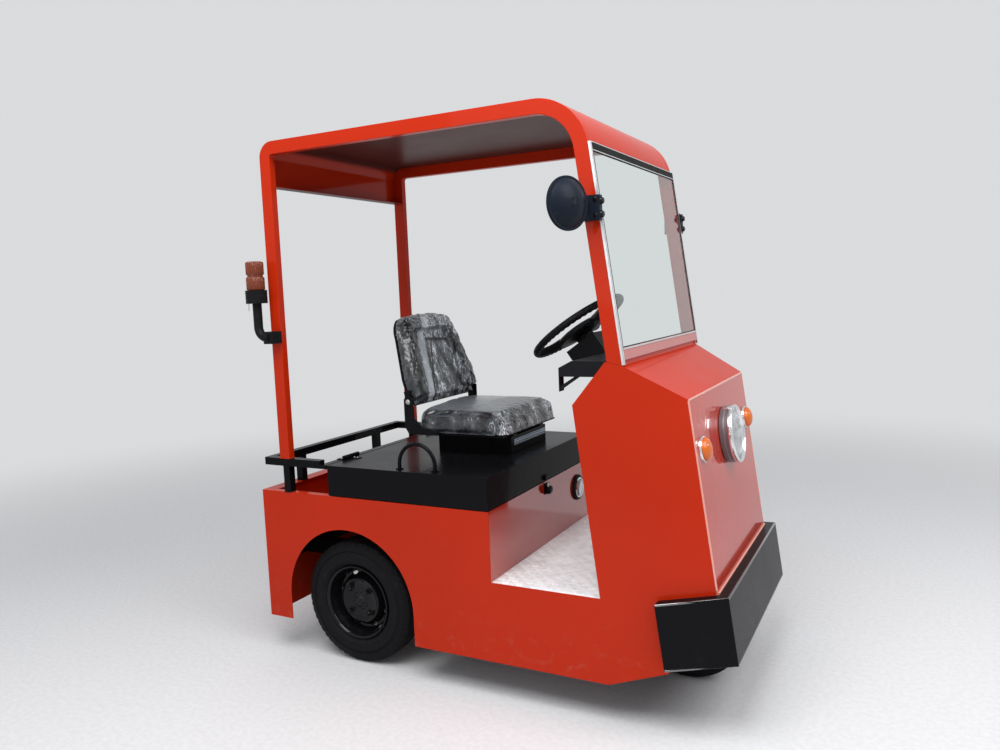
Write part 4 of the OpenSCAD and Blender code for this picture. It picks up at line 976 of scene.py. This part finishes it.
# %% Gasket and bright strips of the windscreen
GLASS_SIDE, GLASS_LOW, GLASS_TOP = 438, 56, 660
SCREEN_TOP, SCREEN_FACE = 688, 8
gasket, strips = Shape(), Shape()
for x in (SCREEN_FACE, 0):
    corners = rectangle(-GLASS_SIDE, GLASS_LOW, GLASS_SIDE, GLASS_TOP)
    gasket.tube([(x, y, z) for y, z in corners], 1.7, nose, 10, closed=True)
top_band = (SCREEN_FACE + 2.5, GLASS_SIDE, SCREEN_TOP - 3)
gasket.box((SCREEN_FACE, -GLASS_SIDE, GLASS_TOP + 4), top_band, nose)
top_lines = (GLASS_TOP + 0.5, GLASS_TOP + 4), (SCREEN_TOP - 3, SCREEN_TOP)
for low, high in (*top_lines, (GLASS_LOW - 8, GLASS_LOW - 3)):
    strips.box((SCREEN_FACE, -GLASS_SIDE, low), (SCREEN_FACE + 1.8, GLASS_SIDE, high), nose)
for side in (-1, 1):
    near, far = sorted((side * (HALF - 0.6), side * (HALF + 0.8)))
    strips.box((0.5, near, 2), (SCREEN_FACE + 0.6, far, SCREEN_TOP), nose)
    near, far = sorted((side * (GLASS_SIDE + 4), side * (HALF + 0.8)))
    strips.box((SCREEN_FACE, near, 2), (SCREEN_FACE + 1.4, far, SCREEN_TOP), nose)
piece(gasket, "screen_gasket", "mirror_black", finish="seal_rubber")
piece(strips, "screen_strips", "lamp_chrome", finish="bright_trim", sharp=30)

# %% [markdown]
# ## Bends of the nose
#
# The nose sheets are welded along their edges and dressed round, and the bumper is bent with a soft
# corner. A line of light runs along each of these edges. A thin round bar set into each edge stands a
# little out of both sheets and catches that light, without touching the CAD panels. The bars are also a
# lighter colour than the panels: a painted highlight that brightens the line.

# %% Rounded edges of the nose and the bumper
NOSE_HALF, NOSE_LOW = 395.4, -928
BUMPER_TOP, BUMPER_DEEP, BUMPER_OUT, NOSE_TAPER = -735, 210, 39, math.radians(17.5)
BEND, BEND_IN = 3.9, 2.6
bends, bumper_bends, flange = Shape(), Shape(), Shape()
front_edge, top_edge, side_edge = nose_reach - BEND_IN, bonnet_rise - BEND_IN, NOSE_HALF - BEND_IN
for y in (-side_edge, side_edge):
    bends.tube([(front_edge, y, NOSE_LOW + 20), (front_edge, y, top_edge)], BEND, nose, 14)
bends.tube([(front_edge, y, top_edge) for y in (-side_edge, side_edge)], BEND, nose, 14)
ahead = nose_reach + BUMPER_OUT
out = BUMPER_OUT / math.cos(NOSE_TAPER) - BEND_IN
bumper_half = HALF - ahead * math.tan(NOSE_TAPER) + out
left_half = [(1, HALF + out), (ahead - BEND_IN, bumper_half)]
outline = [(x, -y) for x, y in left_half] + left_half[::-1]
for z in (BUMPER_TOP - BEND_IN, BUMPER_TOP - BUMPER_DEEP + BEND_IN):
    bumper_bends.tube([(x, y, z) for x, y in outline], BEND, nose, 14)
foot_half = NOSE_HALF - 1
flange.tube([(nose_reach + 2, y, BUMPER_TOP + 3) for y in (-foot_half, foot_half)], 4.5, nose, 14)
# The flange and the bars wear the lighter bend finishes: painted highlights along the edges.
piece(flange, "nose_flange", "body_orange", finish="bend_orange", sharp=60)
piece(bends, "nose_bends", "body_orange", finish="bend_orange", sharp=60)
piece(bumper_bends, "bumper_bends", "black_paint", finish="bend_black", sharp=60)

# %% [markdown]
# ## Fittings of the deck lid
#
# Screws hold the hinge leaves, and a band of blued steel slats closes the front of the seat's plinth. The
# latch has a bright barrel over a dark lever. Beads of weld run round the feet of the guard rail's posts.

# %% Hinge screws and the plinth's band
LID_TOP, HINGE_Y = 781, 300
FIXED_LEAF_X, LID_LEAF_X, BAND_X = 312, (350, 366), 921
fixed_screws, lid_screws, band = Shape(), Shape(), Shape()
for side in (-1, 1):
    for offset in (-31, 31):
        place = facing(FIXED_LEAF_X, side * HINGE_Y + offset, LID_TOP + 3, (0, 0, 1))
        fixed_screws.screw(place, 4.5)
    for x in LID_LEAF_X:
        lid_screws.screw(facing(x, side * HINGE_Y, LID_TOP + 3, (0, 0, 1)), 4.5)
for low, high in ((812, 818), (819.5, 830), (831.5, 836)):
    band.box((BAND_X, -40, low), (BAND_X + 2.5, 250, high))
piece(fixed_screws, "hinge_screws_fixed", "black_paint", finish="steel")
piece(lid_screws, "hinge_screws_lid", "black_paint", "lid", finish="steel")
piece(band, "plinth_band", "black_paint", "lid", finish="blued_steel", bevel=0.4)

# %% Latch
LATCH_Y, LATCH_Z = 22, 634
latch = leaning(KICK_X, LATCH_Y, LATCH_Z, 0)
front = facing(KICK_X + 20, LATCH_Y, LATCH_Z, (1, 0, 0))
upwards = facing(KICK_X + 13, LATCH_Y, LATCH_Z + 14, (0, 0, 1))
case, barrel = Shape(), Shape()
case.box((0, -16, -20), (4, 16, 22), latch).box((4, -10, -18), (20, 10, 2), latch)
case.turned([(0, 6), (11, 6), (14, 2), (14, -14)], front, 32)
for y in (-12, 12):
    for z in (18, -16):
        case.screw(facing(KICK_X + 4, LATCH_Y + y, LATCH_Z + z, (1, 0, 0)), 2.6)
barrel.turned([(0, 9), (6, 9), (8, 7), (8, -12), (0, -12)], upwards, 28)
piece(case, "latch_case", "steel", finish="black_paint", sharp=30, bevel=0.4, replaces=["lid_latch"])
piece(barrel, "latch_barrel", "steel", sharp=30)


# %% Beads of weld
def weld_bead(shape, corners, height, size=2.3, step=2.6):
    """A rippled bead along a closed line of corners at one height."""
    path = []
    for (x0, y0), (x1, y1) in zip(corners, corners[1:] + corners[:1]):
        count = max(1, round(math.hypot(x1 - x0, y1 - y0) / step))
        path += [(x0 + (x1 - x0) * k / count, y0 + (y1 - y0) * k / count, height) for k in range(count)]
    sizes = [size if k % 2 else size * 0.82 for k in range(len(path))]
    return shape.tube(path, sizes, steps=6, closed=True)


rail_welds, pillar_welds = Shape(), Shape()
posts = [(117, 147, 420, 450), (25, 55, 245, 275), (299, 329, 245, 275)]
for side in (-1, 1):
    for x0, x1, y0, y1 in posts:
        weld_bead(rail_welds, rectangle(x0, side * y0, x1, side * y1), 663.5)
    weld_bead(pillar_welds, rectangle(103, side * 420, 151, side * 450), 796.5)
piece(rail_welds, "rail_welds", "black_paint", sharp=80)
piece(pillar_welds, "pillar_welds", "body_orange", sharp=80)

# %% [markdown]
# ## Charging port
#
# The round port under the lid has a black flange with four screws, a bright ring and a clear cover.
# Three turned profiles are enough, one for each material.

# %% Charging port
PORT_FLANGE = [(0, 0.2), (54, 0.2), (54, 6), (51, 10), (44, 10.5), (42.5, 8), (41, 3), (0, 3)]
PORT_RING = [(42.5, 3), (42.5, 13), (40, 15.5), (37, 14), (36, 6), (20, 4), (0, 4)]
PORT_COVER = [(0, 18), (12, 17.6), (25, 16), (36.5, 12.5), (36.5, 10), (0, 10)]
PORT_Y, PORT_Z = 338, 566
port = facing(KICK_X, PORT_Y, PORT_Z, (1, 0, 0))
profiles = (PORT_FLANGE, PORT_RING, PORT_COVER)
flange, ring, cover = (Shape().turned(profile, port, 64) for profile in profiles)
for turn in DIAGONALS:
    flange.screw(around(port, turn, (48, 0, 10)), 2.6)
piece(flange, "port_flange", "steel", finish="seal_rubber", sharp=30, replaces=["charge_port"])
piece(ring, "port_ring", "steel", finish="lamp_chrome", sharp=30)
piece(cover, "port_cover", "lamp_glass", sharp=30)

# %% [markdown]
# ## Pedals, hitch and seat bolts
#
# Rubber ribs give the pedals grip. Four bolts hold the hitch plate, and one capped nut on each side ends
# the pin on which the backrest folds.

# %% Pedal ribs
ribs = Shape()
for y, width, length in ((-60, 70, 60), (-200, 55, 90)):
    slope = leaning(1350, y, 438, 50)
    edge = width / 2 - 4
    for x in range(5, length - 6, 8):
        ribs.slab(rectangle(x, -edge, x + 4, edge), 7.9, 10.4, slope, 0.08)
piece(ribs, "pedal_ribs", "chassis_black", finish="seal_rubber")

# %% Bolts of the hitch plate and of the backrest's fold
hitch_bolts, fold_nuts = Shape(), Shape()
for y in (-62, 62):
    for z in (292, 368):
        hitch_bolts.bolt(facing(-12, y, z, (-1, 0, 0)), 10)
for side in (-1, 1):
    fold_nuts.bolt(facing(FOLD_X, FOLD_Y + side * 261.5, FOLD_Z, (0, side, 0)), 10)
piece(hitch_bolts, "hitch_bolts", "black_paint", finish="steel", sharp=30)
piece(fold_nuts, "fold_nuts", "chassis_black", "backrest", finish="steel", sharp=30)

# %% [markdown]
# ## Seat pads
#
# The seat is foam under vinyl under the clear film that it was delivered in. Each pad starts from its
# CAD solid, is remeshed evenly, and is blown up a little by a cloth simulation, which rounds its
# edges and pulls its sides in between the corners. The film's folds are pushed into the surface
# afterwards, because remeshing would smooth them away.


# %% Cloth simulation for a pad
def even_copy(node, name, shrink, voxel):
    """An evenly meshed copy of a CAD solid, a little smaller."""
    mesh = frame["nodes"][node].data.copy()
    work = bmesh.new()
    work.from_mesh(mesh)
    bmesh.ops.remove_doubles(work, verts=work.verts, dist=0.00001)
    work.to_mesh(mesh)
    work.free()
    thing = placed(name, mesh)
    remesh = thing.modifiers.new("even", "REMESH")
    remesh.mode, remesh.voxel_size = "VOXEL", voxel
    apply_modifiers(thing)
    for v in thing.data.vertices:
        v.co -= v.normal * shrink
    return thing


def move_points(thing, points):
    """Puts a piece's points at new places."""
    thing.data.vertices.foreach_set("co", points.ravel().astype(np.float32))


def blown_up(thing, pressure, cap, held):
    """Lets the pad swell as cloth; held says which points stay, cap limits how far one moves."""
    start = np.array([v.co for v in thing.data.vertices])
    group = thing.vertex_groups.new(name="held")
    group.add([i for i, p in enumerate(start) if held(p)], 1.0, "REPLACE")
    cloth = thing.modifiers.new("swell", "CLOTH")
    settings = cloth.settings
    settings.use_pressure, settings.uniform_pressure_force = True, pressure
    settings.effector_weights.gravity = 0
    settings.vertex_group_mass = "held"
    settings.tension_stiffness = settings.compression_stiffness = 20
    cloth.collision_settings.use_collision = False
    for frame_number in range(1, 21):
        bpy.context.scene.frame_set(frame_number)
    swollen = thing.evaluated_get(bpy.context.evaluated_depsgraph_get()).to_mesh()
    end = np.array([v.co for v in swollen.vertices])
    thing.modifiers.clear()
    bpy.context.scene.frame_set(1)
    move = end - start
    reach = np.linalg.norm(move, axis=1)
    move *= np.minimum(1, cap / np.maximum(reach, 1e-9))[:, None]
    move_points(thing, start + move)
    print(thing.name, "swelled by up to", round(float(reach.max()) * 1000, 1), "mm")


def finer(thing):
    """One subdivision, applied."""
    thing.modifiers.new("finer", "SUBSURF").levels = 1
    apply_modifiers(thing)


# %% Folds, seams and film
def folds(p, size, stretch):
    """Sharp irregular ridges of wrapped film, from 0 to 1."""
    q = Vector((p[0] * stretch[0], p[1] * stretch[1], p[2] * stretch[2])) / size
    bend = noise.noise_vector(q * 0.6) * 0.5
    first = 1 - abs(noise.noise(q + bend)) * 2.2
    second = 1 - abs(noise.noise(q * 2.3 + bend + Vector((7, 3, 5)))) * 2.2
    return max(0.0, first) ** 3 * 0.7 + max(0.0, second) ** 3 * 0.3


def points_and_normals(thing):
    """A piece's points and their normals, as two arrays."""
    vertices = thing.data.vertices
    return np.array([v.co for v in vertices]), np.array([v.normal for v in vertices])


def mark(thing, name, values):
    """Keeps a number for each point, which the finish reads."""
    thing.data.attributes.new(name, "FLOAT", "POINT").data.foreach_set("value", values)


def wrinkle(thing, depth, size, stretch, weight):
    """Pushes the film's folds into the pad, weighted by where a point is."""
    points, normals = points_and_normals(thing)
    for i, p in enumerate(points):
        points[i] = p + normals[i] * depth * weight(p) * (folds(p, size, stretch) - 0.35)
    move_points(thing, points)


def seams(thing, place_of, lines, width, depth):
    """Marks the cover's seams for the finish, and presses them in."""
    points, normals = points_and_normals(thing)
    flat = np.array([place_of(p) for p in points])
    near = np.full(len(points), np.inf)
    for start, end in lines:
        a, b = np.array(start), np.array(end)
        share = np.clip(((flat - a) @ (b - a)) / ((b - a) @ (b - a)), 0, 1)
        near = np.minimum(near, np.linalg.norm(flat - a - share[:, None] * (b - a), axis=1))
    pressed = np.clip(1.4 - near / width, 0, 1)
    move_points(thing, points - normals * (pressed * depth)[:, None])
    mark(thing, "seam", pressed.astype(np.float32))
    print(thing.name, "seams over", int((pressed > 0.5).sum()), "points")


def wrap(thing, sheen_at):
    """Marks how much painted sheen and highlight the film gets at each point."""
    values = [sheen_at(v.co) for v in thing.data.vertices]
    mark(thing, "film", values)
    print(thing.name, "film from", round(min(values), 2), "to", round(max(values), 2))


def pad(thing, body, replaces):
    """Finishes a pad: vinyl, body and what it stands for."""
    thing.data.materials.clear()
    thing.data.materials.append(finishes["vinyl"].material)
    thing.data.shade_smooth()
    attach(thing, body)
    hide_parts(*replaces)
    print(thing.name, len(thing.data.polygons), "faces")


# %% Seat cushion
underside, cushion_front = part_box("seat_cushion")[0].z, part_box("seat_cushion")[1].x
cushion = even_copy("seat_cushion", "cushion_pad", 0.004, 0.006)
blown_up(cushion, 3.0, 0.012, lambda p: p[2] < underside + 0.010)
finer(cushion)


def nearness(p, reach):
    """How close a point is to the cushion's front edge, from 0 at a reach behind it to 1."""
    return min(1.0, max(0.0, 1 - (cushion_front - p[0]) / reach))


def cushion_wrinkles(p):
    """Few folds on top, many on the front."""
    ahead = nearness(p, 0.12)
    return 0.22 + 0.78 * ahead if p[2] > underside + 0.060 else 0.55 + 0.45 * ahead


wrinkle(cushion, 0.0045, 0.050, (1, 0.8, 1), cushion_wrinkles)
# The cushion's film gets more painted sheen and highlights towards its front edge.
wrap(cushion, lambda p: 0.25 + 0.42 * nearness(p, 0.10))
pad(cushion, "seat", ["seat_cushion"])

# %% Backrest pad
SEAM_WIDTH, SEAM_DEPTH = 0.006, 0.005
GROOVES = [((8, -26), (108, 236)), ((278, -26), (302, 258)), ((66, 240), (228, 228))]
fold_axis = at(FOLD_X, FOLD_Y, FOLD_Z)
lean = Matrix.Rotation(math.radians(-17), 4, "Y")
to_back = (Matrix.Translation(fold_axis) @ lean).inverted()
back = even_copy("seat_back", "backrest_pad", 0.003, 0.006)
blown_up(back, 3.0, 0.010, lambda p: (to_back @ Vector(p)).x < -0.002)
finer(back)
wrinkle(back, 0.005, 0.050, (1, 1.2, 0.7), lambda p: 1.0 if (to_back @ Vector(p)).x > 0.004 else 0.1)


def on_back(p):
    """A point's place across and up the backrest, in metres."""
    inside = to_back @ Vector(p)
    return inside.y + FOLD_Y * MM, inside.z


def back_sheen(p):
    """Painted sheen: a bright centre, a bright band beside the near groove, and darker bolsters as painted
    shade.
    """
    across, up = on_back(p)
    beside = across - (-0.008 + 0.16 * (up + 0.02))
    if abs(beside) < 0.028 and -0.02 < up < 0.33:
        return 0.62 + 0.38 * min(1.0, (0.028 - abs(beside)) / 0.010)
    if beside < 0:
        return 0.30
    return 0.69 if across < 0.29 else 0.16


grooves = [tuple(tuple(v * MM for v in point) for point in line) for line in GROOVES]
seams(back, on_back, grooves, SEAM_WIDTH, SEAM_DEPTH)
wrap(back, back_sheen)
pad(back, "backrest", ["seat_back"])

# %% [markdown]
# ## Floor and light
#
# The studio is a pale floor that fades into a pale surround. Its lamps are large and soft: one high in
# front of the nose, one above the right side and a weak one from the camera's side, so that the paint
# shows its own colour. What the camera, a mirror or glass sees is paler than the light on the paint.


# %% Floor
SEEN = (0.70, 0.71, 0.72, 1)
FLOOR_REACH = 60
FLOOR_DARK, FLOOR_LIGHT = (0.58, 0.58, 0.59, 1), (0.63, 0.63, 0.64, 1)
FADE_START, FADE_END = 2.4, 6.5


def fading_floor():
    """Pale floor that turns into the surround's colour far from the object."""
    made = bpy.data.materials.new("studio_floor")
    made.use_nodes = True
    tree = made.node_tree
    diffuse = tree.nodes["Principled BSDF"]
    diffuse.inputs["Roughness"].default_value = 0.65
    here = Socket(tree, tree.nodes.new("ShaderNodeTexCoord").outputs["Object"])
    speck = here.grain(0.02, 4).between(0.3, 0.7).mix(FLOOR_DARK, FLOOR_LIGHT)
    tree.links.new(speck.output, diffuse.inputs["Base Color"])
    far = here.add("VectorMath", {"operation": "LENGTH"}, {0: here}, 1).between(FADE_START, FADE_END)
    glow = here.add("Emission", None, {"Color": SEEN, "Strength": 1.0})
    mixed = here.add("MixShader", None, {0: far, 1: Socket(tree, diffuse.outputs[0]), 2: glow})
    tree.links.new(mixed.output, tree.nodes["Material Output"].inputs["Surface"])
    return made


floor_mesh = bpy.data.meshes.new("studio_floor")
corners = [(x, y, 0) for x, y in rectangle(-FLOOR_REACH, -FLOOR_REACH, FLOOR_REACH, FLOOR_REACH)]
floor_mesh.from_pydata(corners, [], [(0, 1, 2, 3)])
floor = placed("studio_floor", floor_mesh)
floor_mesh.materials.append(fading_floor())
floor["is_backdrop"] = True

# %% Surround
world = bpy.data.worlds.new("studio")
bpy.context.scene.world = world
world.use_nodes = True
sky = world.node_tree
rays = sky.nodes.new("ShaderNodeLightPath").outputs
direct = Socket(sky, rays["Is Camera Ray"]) + Socket(sky, rays["Is Glossy Ray"])
direct = (direct + Socket(sky, rays["Is Transmission Ray"])).between(0.0, 1.0)
shade = direct.mix((0.50, 0.51, 0.53, 1), SEEN)
sky.links.new(shade.output, sky.nodes["Background"].inputs["Color"])


# %% Lamps
def soft_lamp(name, place, target, size, watts):
    """A square area lamp that points at a target."""
    lamp_data = bpy.data.lights.new(name, "AREA")
    lamp_data.shape, lamp_data.size, lamp_data.energy = "SQUARE", size, watts
    holder = placed(name, lamp_data)
    turn = (Vector(target) - Vector(place)).to_track_quat("-Z", "Y").to_matrix().to_4x4()
    holder.matrix_world = Matrix.Translation(place) @ turn
    print(name, watts, "W")


soft_lamp("front_lamp", (3.6, -0.6, 4.1), (0.2, 0, 0.8), 3.0, 150)
soft_lamp("top_lamp", (0.3, -2.2, 4.2), (0.2, 0, 0.5), 2.6, 160)
soft_lamp("side_lamp", (-1.0, -4.6, 2.4), (0, 0, 0.8), 2.4, 16)

# %% [markdown]
# ## Sizes and the end of the script
#
# The dressed model's box is printed here, and the CAD model's box at the start. The dressed model has
# to stay inside the CAD model's box.

# %% Print the visual box
low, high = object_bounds()
print("visual box", [round(v, 3) for v in (*low, *high)])
